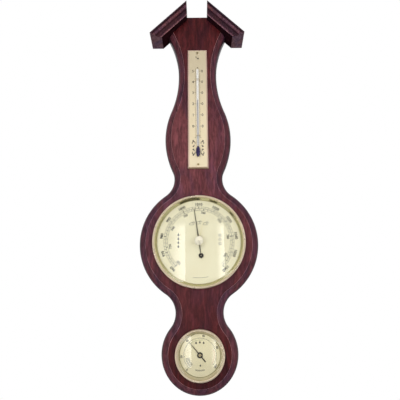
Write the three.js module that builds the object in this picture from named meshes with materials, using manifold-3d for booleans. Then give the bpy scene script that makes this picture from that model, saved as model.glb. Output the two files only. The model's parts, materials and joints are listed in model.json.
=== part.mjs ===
/**
 * A wall weather station: a moulded wooden board with an open gable roof, which carries a spirit thermometer,
 * an aneroid barometer with its movement, and a small hair hygrometer.
 *
 * Millimetres, +Z up. The front looks along -Y and the wall is the plane y = 0, so a depth is a distance
 * from the wall and lies at y = -depth. The origin is the wall nail under the slot of the keyhole plate.
 * Heights are measured from the centre of the barometer, unless a name says otherwise.
 */
import * as THREE from 'three';
import { mergeVertices } from 'three/addons/utils/BufferGeometryUtils.js';
import Module from 'manifold-3d';

const wasm = await Module();
wasm.setup();

// Clearances
const seatGap = 0.3;
const pivotGap = 0.25;
const gearGap = 0.2;

// Board outline: tangent arcs from the foot to the roof
const mainCircleRadius = 83.5;
const mainCircleDrop = 2;
const lowerCircleRadius = 51;
const lowerCircleDrop = 148;
const waistRadius = 30;
const shoulderRadius = 30;
const bulgeHalfWidth = 49;
const bulgeHeight = 153.5;
const bulgeRadius = 118;
const neckHalfWidth = 29.2;
const neckRadius = 157;

// Board section
const boardThickness = 18;
const edgeRoundRadius = 7.5;
const edgeStepWidth = 1.5;
const edgeStepHeight = 1.5;

// Gable roof: two crown mouldings on 45 degree shoulders, cut upright at the ridge and level at the eaves
const roofHeight = 369.1;
const roofThickness = 12.3;
const roofDepth = 40.6;
const ridgeHalfGap = 16;
const eaveHalfWidth = 72;
const ridgeTabHeight = 4.8;
const roofFilletHeight = 2;
const roofFilletStep = 3.5;
const roofOvoloHeight = 3.5;
const roofOvoloDepth = 3;
const roofCoveHeight = 4;
const roofCoveDepth = 4.7;
const roofBeadDepth = 0.6;

// Keyhole plate in the back of the board
const nailBelowRoof = 39.1;
const hangerWidth = 42;
const hangerHeight = 24;
const hangerThickness = 1.2;
const hangerCornerRadius = 3;
const hangerSetback = 1.3;
const hangerScrewSpacing = 32;
const keyholeSlotRadius = 2.4;
const keyholeEntryRadius = 4.5;
const keyholeTravel = 9;
const nailPocketDepth = 6.5;
const nailPocketMargin = 2;
const hangerScrewRadius = 1.25;
const hangerScrewHeadRadius = 2.8;
const hangerScrewHeadHeight = 0.7;
const hangerScrewLength = 11;

// Thermometer
const scaleLength = 192.8;
const scaleCentreHeight = 201.2;
const scaleHalfWidth = 15;
const scaleSheet = 0.7;
const scaleRise = 3;
const scaleRimRound = 2.6;
const tubeRadius = 2.1;
const tubeBoreRadius = 0.9;
const tubeTopBelowScaleTop = 33.6;
const bulbRadius = 3.4;
const bulbLength = 16.6;
const bulbBottomAboveScaleBottom = 16.6;
const bulbWall = 0.7;
const liquidRise = 73;
const clipWire = 0.6;
const clipHook = 1.6;
const upperClipBelowScaleTop = 53;
const lowerClipAboveScaleBottom = 49.2;
const pinFromScaleEnd = 6;
const pinHeadRadius = 1.6;
const pinHeadHeight = 0.9;
const pinRadius = 0.7;
const pinLength = 9;

// Barometer housing
const barometerBezelRadius = 64.3;
const barometerBezelWall = 1.6;
const barometerBandWidth = 6.4;
const barometerBoreMargin = 3.2;
const barometerLipOverlap = 1.1;
const barometerLipThickness = 1.7;
const barometerHandRoom = 3.6;
const barometerGlassThickness = 1.8;
const barometerGlassRise = 2.6;
const barometerCaseSetback = 1;

// Hygrometer housing
const hygrometerDrop = 148.2;
const hygrometerBezelRadius = 32.4;
const hygrometerBezelWall = 1.6;
const hygrometerBandWidth = 4.2;
const hygrometerBoreMargin = 2.2;
const hygrometerLipOverlap = 0.8;
const hygrometerLipThickness = 1.5;
const hygrometerHandRoom = 2.5;
const hygrometerGlassThickness = 1.6;
const hygrometerGlassRise = 1.4;
const hygrometerCaseSetback = 4;
const hygrometerDialRise = 0.4;

// Both housings
const caseSheet = 0.6;
const flangeSheet = 0.5;
const dialThickness = 0.6;
const dialRimGap = 0.4;
const bandSheet = 0.5;

// Barometer movement, from the back plate forwards
const baseRadius = 46;
const baseThickness = 1.2;
const pillarInset = 2;
const pillarRadius = 1.8;
const pillarCount = 3;
const capsuleRadius = 18;
const capsuleHeight = 4.2;
const capsuleBossRadius = 3;
const capsuleRimThickness = 0.9;
const capsuleWaves = 2;
const capsuleWaveHeight = 0.3;
const springLeaf = 0.8;
const springWidth = 22;
const springTipWidth = 7;
const springRise = 2;
const springReach = 14;
const springFootLength = 7.5;
const springFootGap = 1.5;
const postRadius = 1.2;
const postCollarRadius = 2.4;
const postStroke = 0.5;
const plateClearance = 0.9;
const plateThickness = 0.8;
const plateMargin = 3.5;
const platePostRadius = 2;
const platePostNeckRadius = 1.2;
const hairspringRise = 0.15;
const hairspringHeight = 0.5;
const hairspringOuterRadius = 8.5;
const hairspringTurns = 2.5;
const hairspringRibbon = 0.35;
const studRadius = 0.5;
const sectorThickness = 0.8;
const bridgeClearance = 0.8;
const bridgeThickness = 0.8;
const bridgeWidth = 7;
const bridgeFootLength = 6;
const bridgeScrewRadius = 0.8;
const bridgeScrewHeadRadius = 1.5;
const dialClearance = 1.3;

// Wheel work
const gearModule = 0.7;
const pinionTeeth = 12;
const sectorTeeth = 72;
const sectorTeethShown = 13;
const toothShare = 0.4;
const flankSlope = 0.36;
const pinionWidth = 1.2;
const pivotRadius = 0.8;
const sectorHubRadius = 3.2;
const sectorSpokeWidth = 2.4;
const sectorTailLength = 5.9;
const sectorTailWidth = 3.1;
const forkHalfWidth = 0.75;
const rockerDepth = 3.9;
const rockerRadius = 0.7;
const rockerArmRadius = 0.4;
const crankRadius = 0.4;
const crankThrow = 1.5;
const crankReach = 13.1;
const leverSheet = 0.5;
const leverWidth = 2.5;
const leverOverlap = 6;
const bracketSheet = 1;
const bracketHalfWidth = 2;
const bracketReach = 10.3;
const bracketSpan = 14.5;

// Screws in the back of the barometer
const movementScrewSpacing = 64;
const movementScrewRadius = 0.9;
const movementScrewHeadRadius = 2;
const movementScrewHeadHeight = 0.5;
const adjusterRadius = 1.3;
const adjusterHeadRadius = 2.4;
const adjusterSlotWidth = 0.6;
const adjusterSlotDepth = 0.4;

// Barometer hands
const pressureAngle = -8;
const pressureLength = 46.7;
const pressureTail = 20;
const pressureTailRingRadius = 3.5;
const pressureTailRingBore = 2.1;
const pressureTailNub = 24;
const pressureHubRadius = 2.6;
const pressureRootWidth = 2;
const handThickness = 0.4;
const handLift = 1.3;
const setHandAngle = 13;
const setHandLength = 35;
const setHandWidth = 1.5;
const setHandLift = 3;
const setBossRadius = 2.4;
const setBossHeight = 2;
const setStemRadius = 1.4;
const setKnobRadius = 6;
const setKnobHeight = 5.6;
const setWasherRadius = 3.6;
const setWasherThickness = 0.4;

// Hygrometer movement and hand
const humidityAngle = -41;
const humidityLength = 21.3;
const humidityTail = 11;
const humidityHubRadius = 3.7;
const humidityRootWidth = 1.5;
const humidityLift = 0.8;
const hygrometerPivotRadius = 0.6;
const coilOuterRadius = 11.3;
const coilTurns = 3.25;
const coilRibbon = 0.4;
const coilHeight = 3;
const coilCentreDepth = 10;
const coilPostRadius = 0.9;
const yokeThickness = 0.8;
const yokeWidth = 8;
const yokeBossRadius = 2;
const yokeBossHeight = 1.6;

// Facets, and how far a cutting tool runs past the face that it cuts
const through = 1;
const boardArcStep = 0.19;
const bezelSteps = 48;
const smallBezelSteps = 36;
const capsuleSteps = 24;
const shaftSteps = 12;
const screwSteps = 12;

/** A closed geometry as a solid that can be cut and joined, with its faces turned outwards. */
function solidOf(geometry) {
  const bare = geometry.index ? geometry.toNonIndexed() : geometry.clone();
  bare.deleteAttribute('normal');
  bare.deleteAttribute('uv');
  const merged = mergeVertices(bare, 1e-4);
  const index = merged.index.array;
  const faces = [];
  for (let i = 0; i < index.length; i += 3) {
    const [a, b, c] = [index[i], index[i + 1], index[i + 2]];
    if (a !== b && b !== c && c !== a) {
      faces.push([a, b, c]);
    }
  }
  const vertProperties = merged.attributes.position.array;
  const made = (triangles) => {
    const triVerts = Uint32Array.from(triangles.flat());
    return new wasm.Manifold(new wasm.Mesh({ numProp: 3, vertProperties, triVerts }));
  };
  const solid = made(faces);
  return solid.volume() > 0 ? solid : made(faces.map(([a, b, c]) => [a, c, b]));
}

/** The geometry of a solid. */
function geometryOf(solid) {
  const { numProp, vertProperties, triVerts } = solid.getMesh();
  const points = new Float32Array((vertProperties.length / numProp) * 3);
  for (let i = 0; i < points.length / 3; i += 1) {
    points.set(vertProperties.subarray(i * numProp, i * numProp + 3), i * 3);
  }
  const geometry = new THREE.BufferGeometry();
  geometry.setAttribute('position', new THREE.BufferAttribute(points, 3));
  geometry.setIndex(new THREE.BufferAttribute(Uint32Array.from(triVerts), 1));
  return geometry;
}

/** The body with every tool taken away from it. */
function cut(body, ...tools) {
  return geometryOf(tools.reduce((solid, tool) => solid.subtract(solidOf(tool)), solidOf(body)));
}

/** All the pieces as one body. */
function join(first, ...others) {
  return geometryOf(others.reduce((solid, other) => solid.add(solidOf(other)), solidOf(first)));
}

/** What two bodies share. */
function overlapOf(first, second) {
  return geometryOf(solidOf(first).intersect(solidOf(second)));
}

/** A flat shape from its corners. */
function polygon(corners) {
  return new THREE.Shape(corners.map(([x, y]) => new THREE.Vector2(x, y)));
}

/** Points on an ellipse about (x, y), between two angles in radians. */
function arc(x, y, radiusX, radiusY, from, to, steps) {
  return Array.from({ length: steps + 1 }, (_, i) => {
    const angle = from + ((to - from) * i) / steps;
    return [x + radiusX * Math.cos(angle), y + radiusY * Math.sin(angle)];
  });
}

/** A round shape. */
function disc(radius, steps, x = 0, y = 0) {
  return polygon(arc(x, y, radius, radius, 0, 2 * Math.PI, steps).slice(0, steps));
}

/** A rectangle about (x, y) with round corners. */
function roundedRectangle(width, height, radius, x = 0, y = 0) {
  const [dx, dy] = [width / 2 - radius, height / 2 - radius];
  const corner = (sx, sy, from) => arc(x + sx * dx, y + sy * dy, radius, radius, from, from + Math.PI / 2, 4);
  return polygon([
    ...corner(1, 1, 0),
    ...corner(-1, 1, Math.PI / 2),
    ...corner(-1, -1, Math.PI),
    ...corner(1, -1, 1.5 * Math.PI),
  ]);
}

/** A flat shape drawn out square to itself. */
function extruded(shape, depth) {
  return new THREE.ExtrudeGeometry(shape, { depth, bevelEnabled: false });
}

/** A shape drawn as seen from the front, between two depths. */
function slab(shape, back, front) {
  return extruded(shape, front - back).rotateX(Math.PI / 2).translate(0, -back, 0);
}

/** A section drawn as [x, depth], from one height to another. */
function column(section, bottom, top) {
  const shape = polygon(section.map(([x, depth]) => [x, -depth]));
  return extruded(shape, top - bottom).translate(0, 0, bottom);
}

/** A section drawn as [height, depth], from one x to another. */
function beam(section, left, right) {
  const shape = polygon(section.map(([height, depth]) => [-depth, height]));
  return extruded(shape, right - left).rotateY(Math.PI / 2).rotateX(Math.PI / 2).translate(left, 0, 0);
}

/** A closed profile of [radius, depth], turned round an axis that points at the viewer. */
function turned(profile, steps, x = 0, z = 0) {
  const points = profile.map(([radius, depth]) => new THREE.Vector2(radius, -depth));
  return new THREE.LatheGeometry([...points, points[0]], steps).translate(x, 0, z);
}

/** A closed profile of [radius, height], turned round an upright axis at a depth. */
function turnedUpright(profile, steps, depth) {
  const points = profile.map(([radius, height]) => new THREE.Vector2(radius, height));
  return new THREE.LatheGeometry([...points, points[0]], steps).rotateX(Math.PI / 2).translate(0, -depth, 0);
}

/** A round bar between two depths. */
function pin(radius, back, front, x = 0, z = 0, steps = shaftSteps) {
  return turned([[0, back], [radius, back], [radius, front], [0, front]], steps, x, z);
}

/** A round bar along X. */
function crossPin(radius, left, right, depth, z) {
  const bar = new THREE.CylinderGeometry(radius, radius, right - left, shaftSteps);
  return bar.rotateZ(Math.PI / 2).translate((left + right) / 2, -depth, z);
}

/** A box between two corners, given in x, depth and height. */
function block(left, right, back, front, bottom, top) {
  const box = new THREE.BoxGeometry(right - left, front - back, top - bottom);
  return box.translate((left + right) / 2, -(back + front) / 2, (bottom + top) / 2);
}

/** A flat spiral ribbon whose outer end lies straight left of the axis. */
function spiral(innerRadius, outerRadius, turns, ribbon, stepsPerTurn) {
  const steps = Math.round(turns * stepsPerTurn);
  const edge = (offset) => Array.from({ length: steps + 1 }, (_, i) => {
    const share = i / steps;
    const radius = innerRadius + (outerRadius - innerRadius) * share + offset;
    const angle = Math.PI + (share - 1) * turns * 2 * Math.PI;
    return [radius * Math.cos(angle), radius * Math.sin(angle)];
  });
  return polygon([...edge(-ribbon / 2), ...edge(ribbon / 2).reverse()]);
}

/** A hand seen from the front: a tapering needle from the axis to its tip, pointing up. */
function needle(length, rootWidth, tipWidth, tail = 0, tailWidth = rootWidth) {
  return polygon([
    [-tailWidth / 2, -tail],
    [tailWidth / 2, -tail],
    [rootWidth / 2, 0],
    [tipWidth / 2, length],
    [-tipWidth / 2, length],
    [-rootWidth / 2, 0],
  ]);
}

/** Turns a geometry about the axis that points at the viewer, clockwise as the viewer sees it. */
function clockwise(geometry, degrees) {
  return geometry.rotateY(THREE.MathUtils.degToRad(degrees));
}

/** The corners of gear teeth on a pitch circle, around the given middle angles. */
function gearTeeth(pitchRadius, middles) {
  const addendum = gearModule;
  const dedendum = gearModule + gearGap;
  const halfTooth = (Math.PI * gearModule * toothShare) / 2;
  const levels = [
    [pitchRadius - dedendum, halfTooth + dedendum * flankSlope * 0.5],
    [pitchRadius, halfTooth],
    [pitchRadius + addendum, halfTooth - addendum * flankSlope],
  ];
  const corner = (middle, [radius, half], side) => {
    const angle = middle + (side * half) / radius;
    return [radius * Math.cos(angle), radius * Math.sin(angle)];
  };
  return middles.flatMap((middle) => [
    ...levels.map((level) => corner(middle, level, -1)),
    ...levels.toReversed().map((level) => corner(middle, level, 1)),
  ]);
}

// Finishes

/** A plain finish. */
function finish(color, roughness, metalness) {
  return new THREE.MeshStandardMaterial({ color, roughness, metalness });
}

/** Clear glass. */
function clearGlass() {
  const glass = finish(0xf4f8f6, 0.03, 0);
  glass.transparent = true;
  glass.opacity = 0.25;
  return glass;
}

const mahogany = () => finish(0x5a2226, 0.45, 0);
const polishedBrass = () => finish(0xe0be82, 0.18, 1);
const satinBrass = () => finish(0xc9a45c, 0.4, 1);
const champagneMetal = () => finish(0xe6d7a5, 0.35, 0.7);
const dialMetal = () => finish(0xeae2c0, 0.45, 0.4);
const blueSpirit = () => finish(0x1d2350, 0.2, 0);
const blackHand = () => finish(0x141312, 0.4, 0.2);
const zincSteel = () => finish(0xa9adb0, 0.4, 1);
const springSteel = () => finish(0x70757c, 0.35, 1);
const capsuleMetal = () => finish(0xc8c2b0, 0.35, 1);
const caseMetal = () => finish(0x9a9c9c, 0.45, 1);

/** Adds a named piece to a group. */
function place(group, name, geometry, material) {
  const clean = geometryOf(solidOf(geometry));
  clean.computeVertexNormals();
  const mesh = new THREE.Mesh(clean, material);
  mesh.name = name;
  group.add(mesh);
}

// Board

/** The circle of a given radius that touches two circles from outside, on their right-hand side. */
function filletBetween(first, second, radius) {
  const [a, b] = [first.radius + radius, second.radius + radius];
  const line = new THREE.Vector2().subVectors(second.centre, first.centre);
  const span = line.length();
  const along = (a * a - b * b + span * span) / (2 * span);
  const aside = Math.sqrt(a * a - along * along);
  line.divideScalar(span);
  const centre = first.centre.clone().addScaledVector(line, along);
  centre.addScaledVector(new THREE.Vector2(line.y, -line.x), aside);
  return { centre, radius };
}

/** The direction from one point to another, between 0 and a full turn. */
function heading(from, to) {
  const angle = Math.atan2(to.y - from.y, to.x - from.x);
  return angle < 0 ? angle + 2 * Math.PI : angle;
}

/** The board's arcs, from the foot to the roof, before any inset. Hollow arcs curve into the board. */
function boardArcs() {
  const lower = { centre: new THREE.Vector2(0, -lowerCircleDrop), radius: lowerCircleRadius };
  const main = { centre: new THREE.Vector2(0, -mainCircleDrop), radius: mainCircleRadius };
  const bulge = { centre: new THREE.Vector2(bulgeHalfWidth - bulgeRadius, bulgeHeight), radius: bulgeRadius };
  const waist = filletBetween(lower, main, waistRadius);
  const shoulder = filletBetween(main, bulge, shoulderRadius);
  const neckX = neckHalfWidth + neckRadius;
  const rise = Math.sqrt((bulgeRadius + neckRadius) ** 2 - (neckX - bulge.centre.x) ** 2);
  const neck = { centre: new THREE.Vector2(neckX, bulgeHeight + rise), radius: neckRadius };
  const arcs = [lower, waist, main, shoulder, bulge, neck];
  const along = (here, there) => heading(here.centre, there.centre);
  return arcs.map((here, i) => {
    const hollow = i % 2 === 1;
    const turn = !hollow && i > 0 ? 2 * Math.PI : 0;
    const from = i > 0 ? along(here, arcs[i - 1]) - turn : -Math.PI / 2;
    const to = i + 1 < arcs.length ? along(here, arcs[i + 1]) : null;
    return { ...here, hollow, from, to };
  });
}

/** The line x + z = roofLine is the board's right shoulder, just under the roof moulding. */
const roofLine = roofHeight - seatGap * Math.SQRT2;

/** The angle at which an arc's circle meets the right shoulder, on its left-hand side. */
function shoulderAngle(centre, radius) {
  return Math.PI / 4 + Math.acos((roofLine - centre.x - centre.y) / (radius * Math.SQRT2));
}

/** The board's closed outline, drawn in by an inset where its edge is moulded. */
function boardOutline(inset) {
  const right = [];
  for (const { centre, radius, hollow, from, to } of boardArcs()) {
    const r = hollow ? radius + inset : radius - inset;
    const end = to ?? shoulderAngle(centre, r);
    const plainEnd = to ?? shoulderAngle(centre, radius);
    const step = boardArcStep * Math.sqrt(mainCircleRadius / radius);
    const steps = Math.max(3, Math.round(Math.abs(plainEnd - from) / step));
    right.push(...arc(centre.x, centre.y, r, r, from, end, steps).slice(right.length ? 1 : 0));
  }
  const tabHalf = ridgeHalfGap - seatGap;
  right.push([tabHalf, roofLine - tabHalf]);
  right.push([tabHalf, roofLine - tabHalf + ridgeTabHeight]);
  const left = right.slice(1).reverse().map(([x, z]) => [-x, z]);
  return [...right, ...left];
}

/** The edge moulding as [inset, depth]: a square side, a quarter round and a small step up to the face. */
function boardEdge() {
  const roundTop = boardThickness - edgeStepHeight;
  const radius = edgeRoundRadius;
  const round = arc(radius, roundTop - radius, -radius, radius, 0, Math.PI / 2, 4);
  const inset = radius + edgeStepWidth;
  return [[0, 0], ...round, [inset, roundTop], [inset, boardThickness]];
}

/** The bare board: its outlines stacked along the edge moulding. */
function mouldedBoard() {
  const levels = boardEdge().map(([inset, depth]) => boardOutline(inset).map(([x, z]) => [x, -depth, z]));
  const count = levels[0].length;
  const index = [];
  for (let level = 0; level + 1 < levels.length; level += 1) {
    for (let i = 0; i < count; i += 1) {
      const [a, b] = [level * count + i, level * count + ((i + 1) % count)];
      index.push(a, b, b + count, a, b + count, a + count);
    }
  }
  const flat = (level) => level.map(([x, , z]) => new THREE.Vector2(x, z));
  const top = (levels.length - 1) * count;
  for (const [a, b, c] of THREE.ShapeUtils.triangulateShape(flat(levels[0]), [])) {
    index.push(a, c, b);
  }
  for (const [a, b, c] of THREE.ShapeUtils.triangulateShape(flat(levels.at(-1)), [])) {
    index.push(top + a, top + b, top + c);
  }
  const geometry = new THREE.BufferGeometry();
  geometry.setAttribute('position', new THREE.Float32BufferAttribute(levels.flat(2), 3));
  geometry.setIndex(index);
  return geometry;
}

const nailHeight = roofHeight - nailBelowRoof;
const hangerCentre = nailHeight - keyholeTravel / 2;
const hangerBack = hangerSetback;
const hangerFront = hangerBack + hangerThickness;
const hangerFloor = hangerFront + seatGap;
const hangerScrewPlaces = [-hangerScrewSpacing / 2, hangerScrewSpacing / 2];
const scaleBottom = scaleCentreHeight - scaleLength / 2;
const scaleTop = scaleCentreHeight + scaleLength / 2;
const pinHeights = { lower: scaleBottom + pinFromScaleEnd, upper: scaleTop - pinFromScaleEnd };

/** The hole that a nail's head passes, and the slot above it that holds the shank. */
function keyhole(margin) {
  const entry = keyholeEntryRadius + margin;
  const slot = keyholeSlotRadius + margin;
  const entryHeight = nailHeight - keyholeTravel;
  const meet = Math.asin(slot / entry);
  return polygon([
    ...arc(0, nailHeight, slot, slot, 0, Math.PI, 8),
    ...arc(0, entryHeight, entry, entry, Math.PI / 2 + meet, 2.5 * Math.PI - meet, 16),
  ]);
}

/** The board with the bores for both instruments, the recess for the keyhole plate and all screw holes. */
function caseBoard() {
  const front = boardThickness + through;
  const barometerBore = pin(barometerBezelRadius - barometerBoreMargin, -through, front, 0, 0, bezelSteps);
  const hygrometerRadius = hygrometerBezelRadius - hygrometerBoreMargin;
  const hygrometerBore = pin(hygrometerRadius, -through, front, 0, -hygrometerDrop, smallBezelSteps);
  const recess = roundedRectangle(
    hangerWidth + 2 * seatGap, hangerHeight + 2 * seatGap, hangerCornerRadius + seatGap, 0, hangerCentre,
  );
  const screwEnd = hangerBack + hangerScrewLength + seatGap;
  const screwRadius = hangerScrewRadius + seatGap;
  const screwHoles = hangerScrewPlaces.map((x) => pin(screwRadius, 0, screwEnd, x, hangerCentre));
  const pinEnd = boardThickness + scaleRise - pinLength - seatGap;
  const pinHoles = Object.values(pinHeights).map((z) => pin(pinRadius + seatGap, pinEnd, front, 0, z));
  return cut(
    mouldedBoard(),
    barometerBore,
    hygrometerBore,
    slab(recess, -through, hangerFloor),
    slab(keyhole(nailPocketMargin), 0, hangerFloor + nailPocketDepth),
    ...screwHoles,
    ...pinHoles,
  );
}

// Roof

/** The crown moulding's section as [height over its underside, depth], from the top's back to the foot. */
function roofSection() {
  const filletFoot = roofThickness - roofFilletHeight;
  const ovoloFront = roofDepth - roofFilletStep;
  const ovoloFoot = filletFoot - roofOvoloHeight;
  const coveFront = ovoloFront - roofOvoloDepth;
  const coveFoot = ovoloFoot - roofCoveHeight;
  const coveBack = coveFront - roofCoveDepth;
  return [
    [0, 0],
    [roofThickness, 0],
    [roofThickness, roofDepth],
    [filletFoot, roofDepth],
    ...arc(filletFoot, coveFront, -roofOvoloHeight, roofOvoloDepth, Math.PI / 2, 0, 4),
    ...arc(coveFoot, coveFront, roofCoveHeight, -roofCoveDepth, 0, Math.PI / 2, 4).slice(1),
    ...arc(coveFoot / 2, coveBack, coveFoot / 2, roofBeadDepth, 0, Math.PI, 4).slice(1),
  ];
}

/** The right roof moulding: the section run down the slope, upright at the ridge and level at the eave. */
function roofMoulding() {
  const topLine = roofHeight + roofThickness * Math.SQRT2;
  const eave = topLine - eaveHalfWidth;
  const reach = 2 * eaveHalfWidth;
  const run = column(roofSection(), -reach, reach).rotateY(-Math.PI / 4).translate(0, 0, roofHeight);
  const kept = polygon([
    [ridgeHalfGap, eave],
    [eaveHalfWidth + roofThickness, eave],
    [eaveHalfWidth + roofThickness, topLine],
    [ridgeHalfGap, topLine],
  ]);
  return overlapOf(run, slab(kept, -through, roofDepth + through));
}

/** Adds the board, both roof mouldings and the keyhole plate with its screws. */
function addCase(group) {
  place(group, 'case_board', caseBoard(), mahogany());
  place(group, 'roof_moulding_right', roofMoulding(), mahogany());
  place(group, 'roof_moulding_left', roofMoulding().scale(-1, 1, 1), mahogany());
  const outline = roundedRectangle(hangerWidth, hangerHeight, hangerCornerRadius, 0, hangerCentre);
  outline.holes.push(keyhole(0));
  for (const x of hangerScrewPlaces) {
    outline.holes.push(disc(hangerScrewRadius + seatGap, shaftSteps, x, hangerCentre));
  }
  place(group, 'hanger_plate', slab(outline, hangerBack, hangerFront), zincSteel());
  ['left', 'right'].forEach((side, i) => {
    const headFront = hangerBack - seatGap;
    const headBack = headFront - hangerScrewHeadHeight;
    const screw = turned([
      [0, headBack],
      [hangerScrewHeadRadius * 0.7, headBack],
      [hangerScrewHeadRadius, headFront - hangerScrewHeadHeight * 0.4],
      [hangerScrewHeadRadius, headFront],
      [hangerScrewRadius, headFront],
      [hangerScrewRadius, hangerBack + hangerScrewLength - hangerScrewRadius],
      [0, hangerBack + hangerScrewLength],
    ], screwSteps, hangerScrewPlaces[i], hangerCentre);
    place(group, `hanger_screw_${side}`, screw, zincSteel());
  });
}

// Thermometer

/** A block with a rounded rim: the scale plate's outside, or its hollow a sheet further in. */
function scaleBlock(sheet, back, front) {
  const round = scaleRimRound - sheet;
  const across = (low, high) => [
    [high, back],
    ...arc(high - round, front - round, round, round, 0, Math.PI / 2, 3),
    ...arc(low + round, front - round, round, round, Math.PI / 2, Math.PI, 3),
    [low, back],
  ];
  const [left, right] = [sheet - scaleHalfWidth, scaleHalfWidth - sheet];
  const [bottom, top] = [scaleBottom + sheet, scaleTop - sheet];
  return overlapOf(column(across(left, right), bottom, top), beam(across(bottom, top), left, right));
}

/** Adds the pressed scale plate, the glass tube with its spirit, two wire clips and two pins. */
function addThermometer(group) {
  const face = boardThickness + scaleRise;
  const foot = boardThickness + seatGap;
  const tubeDepth = face + seatGap + tubeRadius;
  const bulbBottom = scaleBottom + bulbBottomAboveScaleBottom;
  const bulbTop = bulbBottom + bulbLength;
  const tubeTop = scaleTop - tubeTopBelowScaleTop;
  const clipInside = tubeRadius + seatGap;
  const clipOutside = clipInside + clipWire;
  const clipHeights = {
    upper: scaleTop - upperClipBelowScaleTop,
    lower: scaleBottom + lowerClipAboveScaleBottom,
  };
  const slotHalf = Math.sqrt(bulbRadius ** 2 - (tubeDepth - face) ** 2) + seatGap;
  const slotLength = bulbLength - 2 * (bulbRadius - slotHalf);
  const slotMiddle = (bulbBottom + bulbTop) / 2;
  const slot = roundedRectangle(2 * slotHalf, slotLength, slotHalf - seatGap, 0, slotMiddle);
  const legRoom = clipWire / 2 + seatGap;
  const legHoles = Object.values(clipHeights).flatMap((z) => [-1, 1].map((side) => {
    const middle = (side * (clipInside + clipOutside)) / 2;
    return block(middle - legRoom, middle + legRoom, foot, face + through, z - legRoom, z + legRoom);
  }));
  const holes = [
    slab(slot, foot, face + through),
    ...Object.values(pinHeights).map((z) => pin(pinRadius + seatGap, foot, face + through, 0, z)),
    ...legHoles,
  ];
  const hollow = scaleBlock(scaleSheet, foot - through, face - scaleSheet);
  const plate = cut(scaleBlock(0, foot, face), hollow, ...holes);
  place(group, 'thermometer_plate', plate, champagneMetal());

  const wave = Math.PI / 2;
  const outside = [
    ...arc(0, bulbBottom + bulbRadius, bulbRadius, bulbRadius, -wave, 0, 4),
    ...arc(0, bulbTop - bulbRadius, bulbRadius, bulbRadius, 0, Math.acos(tubeRadius / bulbRadius), 3),
    [tubeRadius, tubeTop - tubeRadius / 2],
    [(tubeRadius + tubeBoreRadius) / 2, tubeTop],
    [tubeBoreRadius, tubeTop],
  ];
  const inward = (radius, bore, top) => [
    ...arc(0, bulbTop - bulbRadius, radius, radius, Math.acos(bore / radius), 0, 3),
    ...arc(0, bulbBottom + bulbRadius, radius, radius, 0, -wave, 4),
  ].filter(([, height]) => height < top);
  const inside = inward(bulbRadius - bulbWall, tubeBoreRadius, tubeTop);
  const tube = turnedUpright([...outside, ...inside], screwSteps, tubeDepth);
  place(group, 'thermometer_tube', tube, clearGlass());

  const columnRadius = tubeBoreRadius - seatGap;
  const spiritTop = bulbTop + liquidRise;
  const bulbCore = inward(bulbRadius - bulbWall - seatGap, columnRadius, spiritTop);
  const spiritProfile = [[0, spiritTop], [columnRadius, spiritTop], ...bulbCore];
  const spirit = turnedUpright(spiritProfile, shaftSteps, tubeDepth);
  place(group, 'thermometer_spirit', spirit, blueSpirit());

  const hookFront = face - scaleSheet - seatGap;
  const hookBack = hookFront - clipWire;
  const hookEnd = clipOutside + clipHook;
  const wire = [
    [-hookEnd, hookBack],
    [-clipInside, hookBack],
    ...arc(0, tubeDepth, -clipInside, clipInside, 0, Math.PI, 8),
    [clipInside, hookBack],
    [hookEnd, hookBack],
    [hookEnd, hookFront],
    [clipOutside, hookFront],
    ...arc(0, tubeDepth, clipOutside, clipOutside, 0, Math.PI, 8),
    [-clipOutside, hookFront],
    [-hookEnd, hookFront],
  ];
  for (const [which, height] of Object.entries(clipHeights)) {
    const clip = column(wire, height - clipWire / 2, height + clipWire / 2);
    place(group, `tube_clip_${which}`, clip, satinBrass());
  }
  for (const [which, height] of Object.entries(pinHeights)) {
    const head = face + seatGap;
    const nail = turned([
      [0, face - pinLength],
      [pinRadius, face - pinLength + pinRadius],
      [pinRadius, head],
      [pinHeadRadius, head],
      ...arc(0, head, pinHeadRadius, pinHeadHeight, Math.PI / 8, Math.PI / 2, 3),
    ], screwSteps, 0, height);
    place(group, `plate_pin_${which}`, nail, satinBrass());
  }
}

// Instrument housings

/** The depths and radii that both instruments' housings share, from one set of sizes. */
function housingSizes(sizes) {
  const { bezelRadius, bezelWall, boreMargin, dialFront, handRoom, glassThickness } = sizes;
  const caseRadius = bezelRadius - boreMargin - seatGap;
  const glassRadius = bezelRadius - bezelWall - seatGap;
  const glassBack = dialFront + handRoom;
  const glassFront = glassBack + glassThickness;
  return {
    ...sizes,
    caseRadius,
    caseInner: caseRadius - caseSheet,
    dialRadius: caseRadius - caseSheet - dialRimGap,
    dialShown: bezelRadius - sizes.bandWidth,
    glassRadius,
    lipInner: glassRadius - sizes.lipOverlap,
    glassBack,
    glassFront,
    lipUnder: glassFront + seatGap,
    crown: glassFront + seatGap + sizes.lipThickness,
    flangeBack: boardThickness + seatGap,
  };
}

/** The pressed cup that lines the bore, with a flange that rests on the board's face. */
function housingCase({ caseRadius, caseInner, caseSetback, glassRadius, flangeBack, steps }) {
  const bend = caseSheet * 2;
  return turned([
    [0, caseSetback],
    [caseRadius - bend, caseSetback],
    [caseRadius, caseSetback + bend],
    [caseRadius, flangeBack],
    [glassRadius, flangeBack],
    [glassRadius, flangeBack + flangeSheet],
    [caseInner, flangeBack + flangeSheet],
    [caseInner, caseSetback + bend + caseSheet / 2],
    [caseInner - bend, caseSetback + caseSheet],
    [0, caseSetback + caseSheet],
  ], steps);
}

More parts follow.
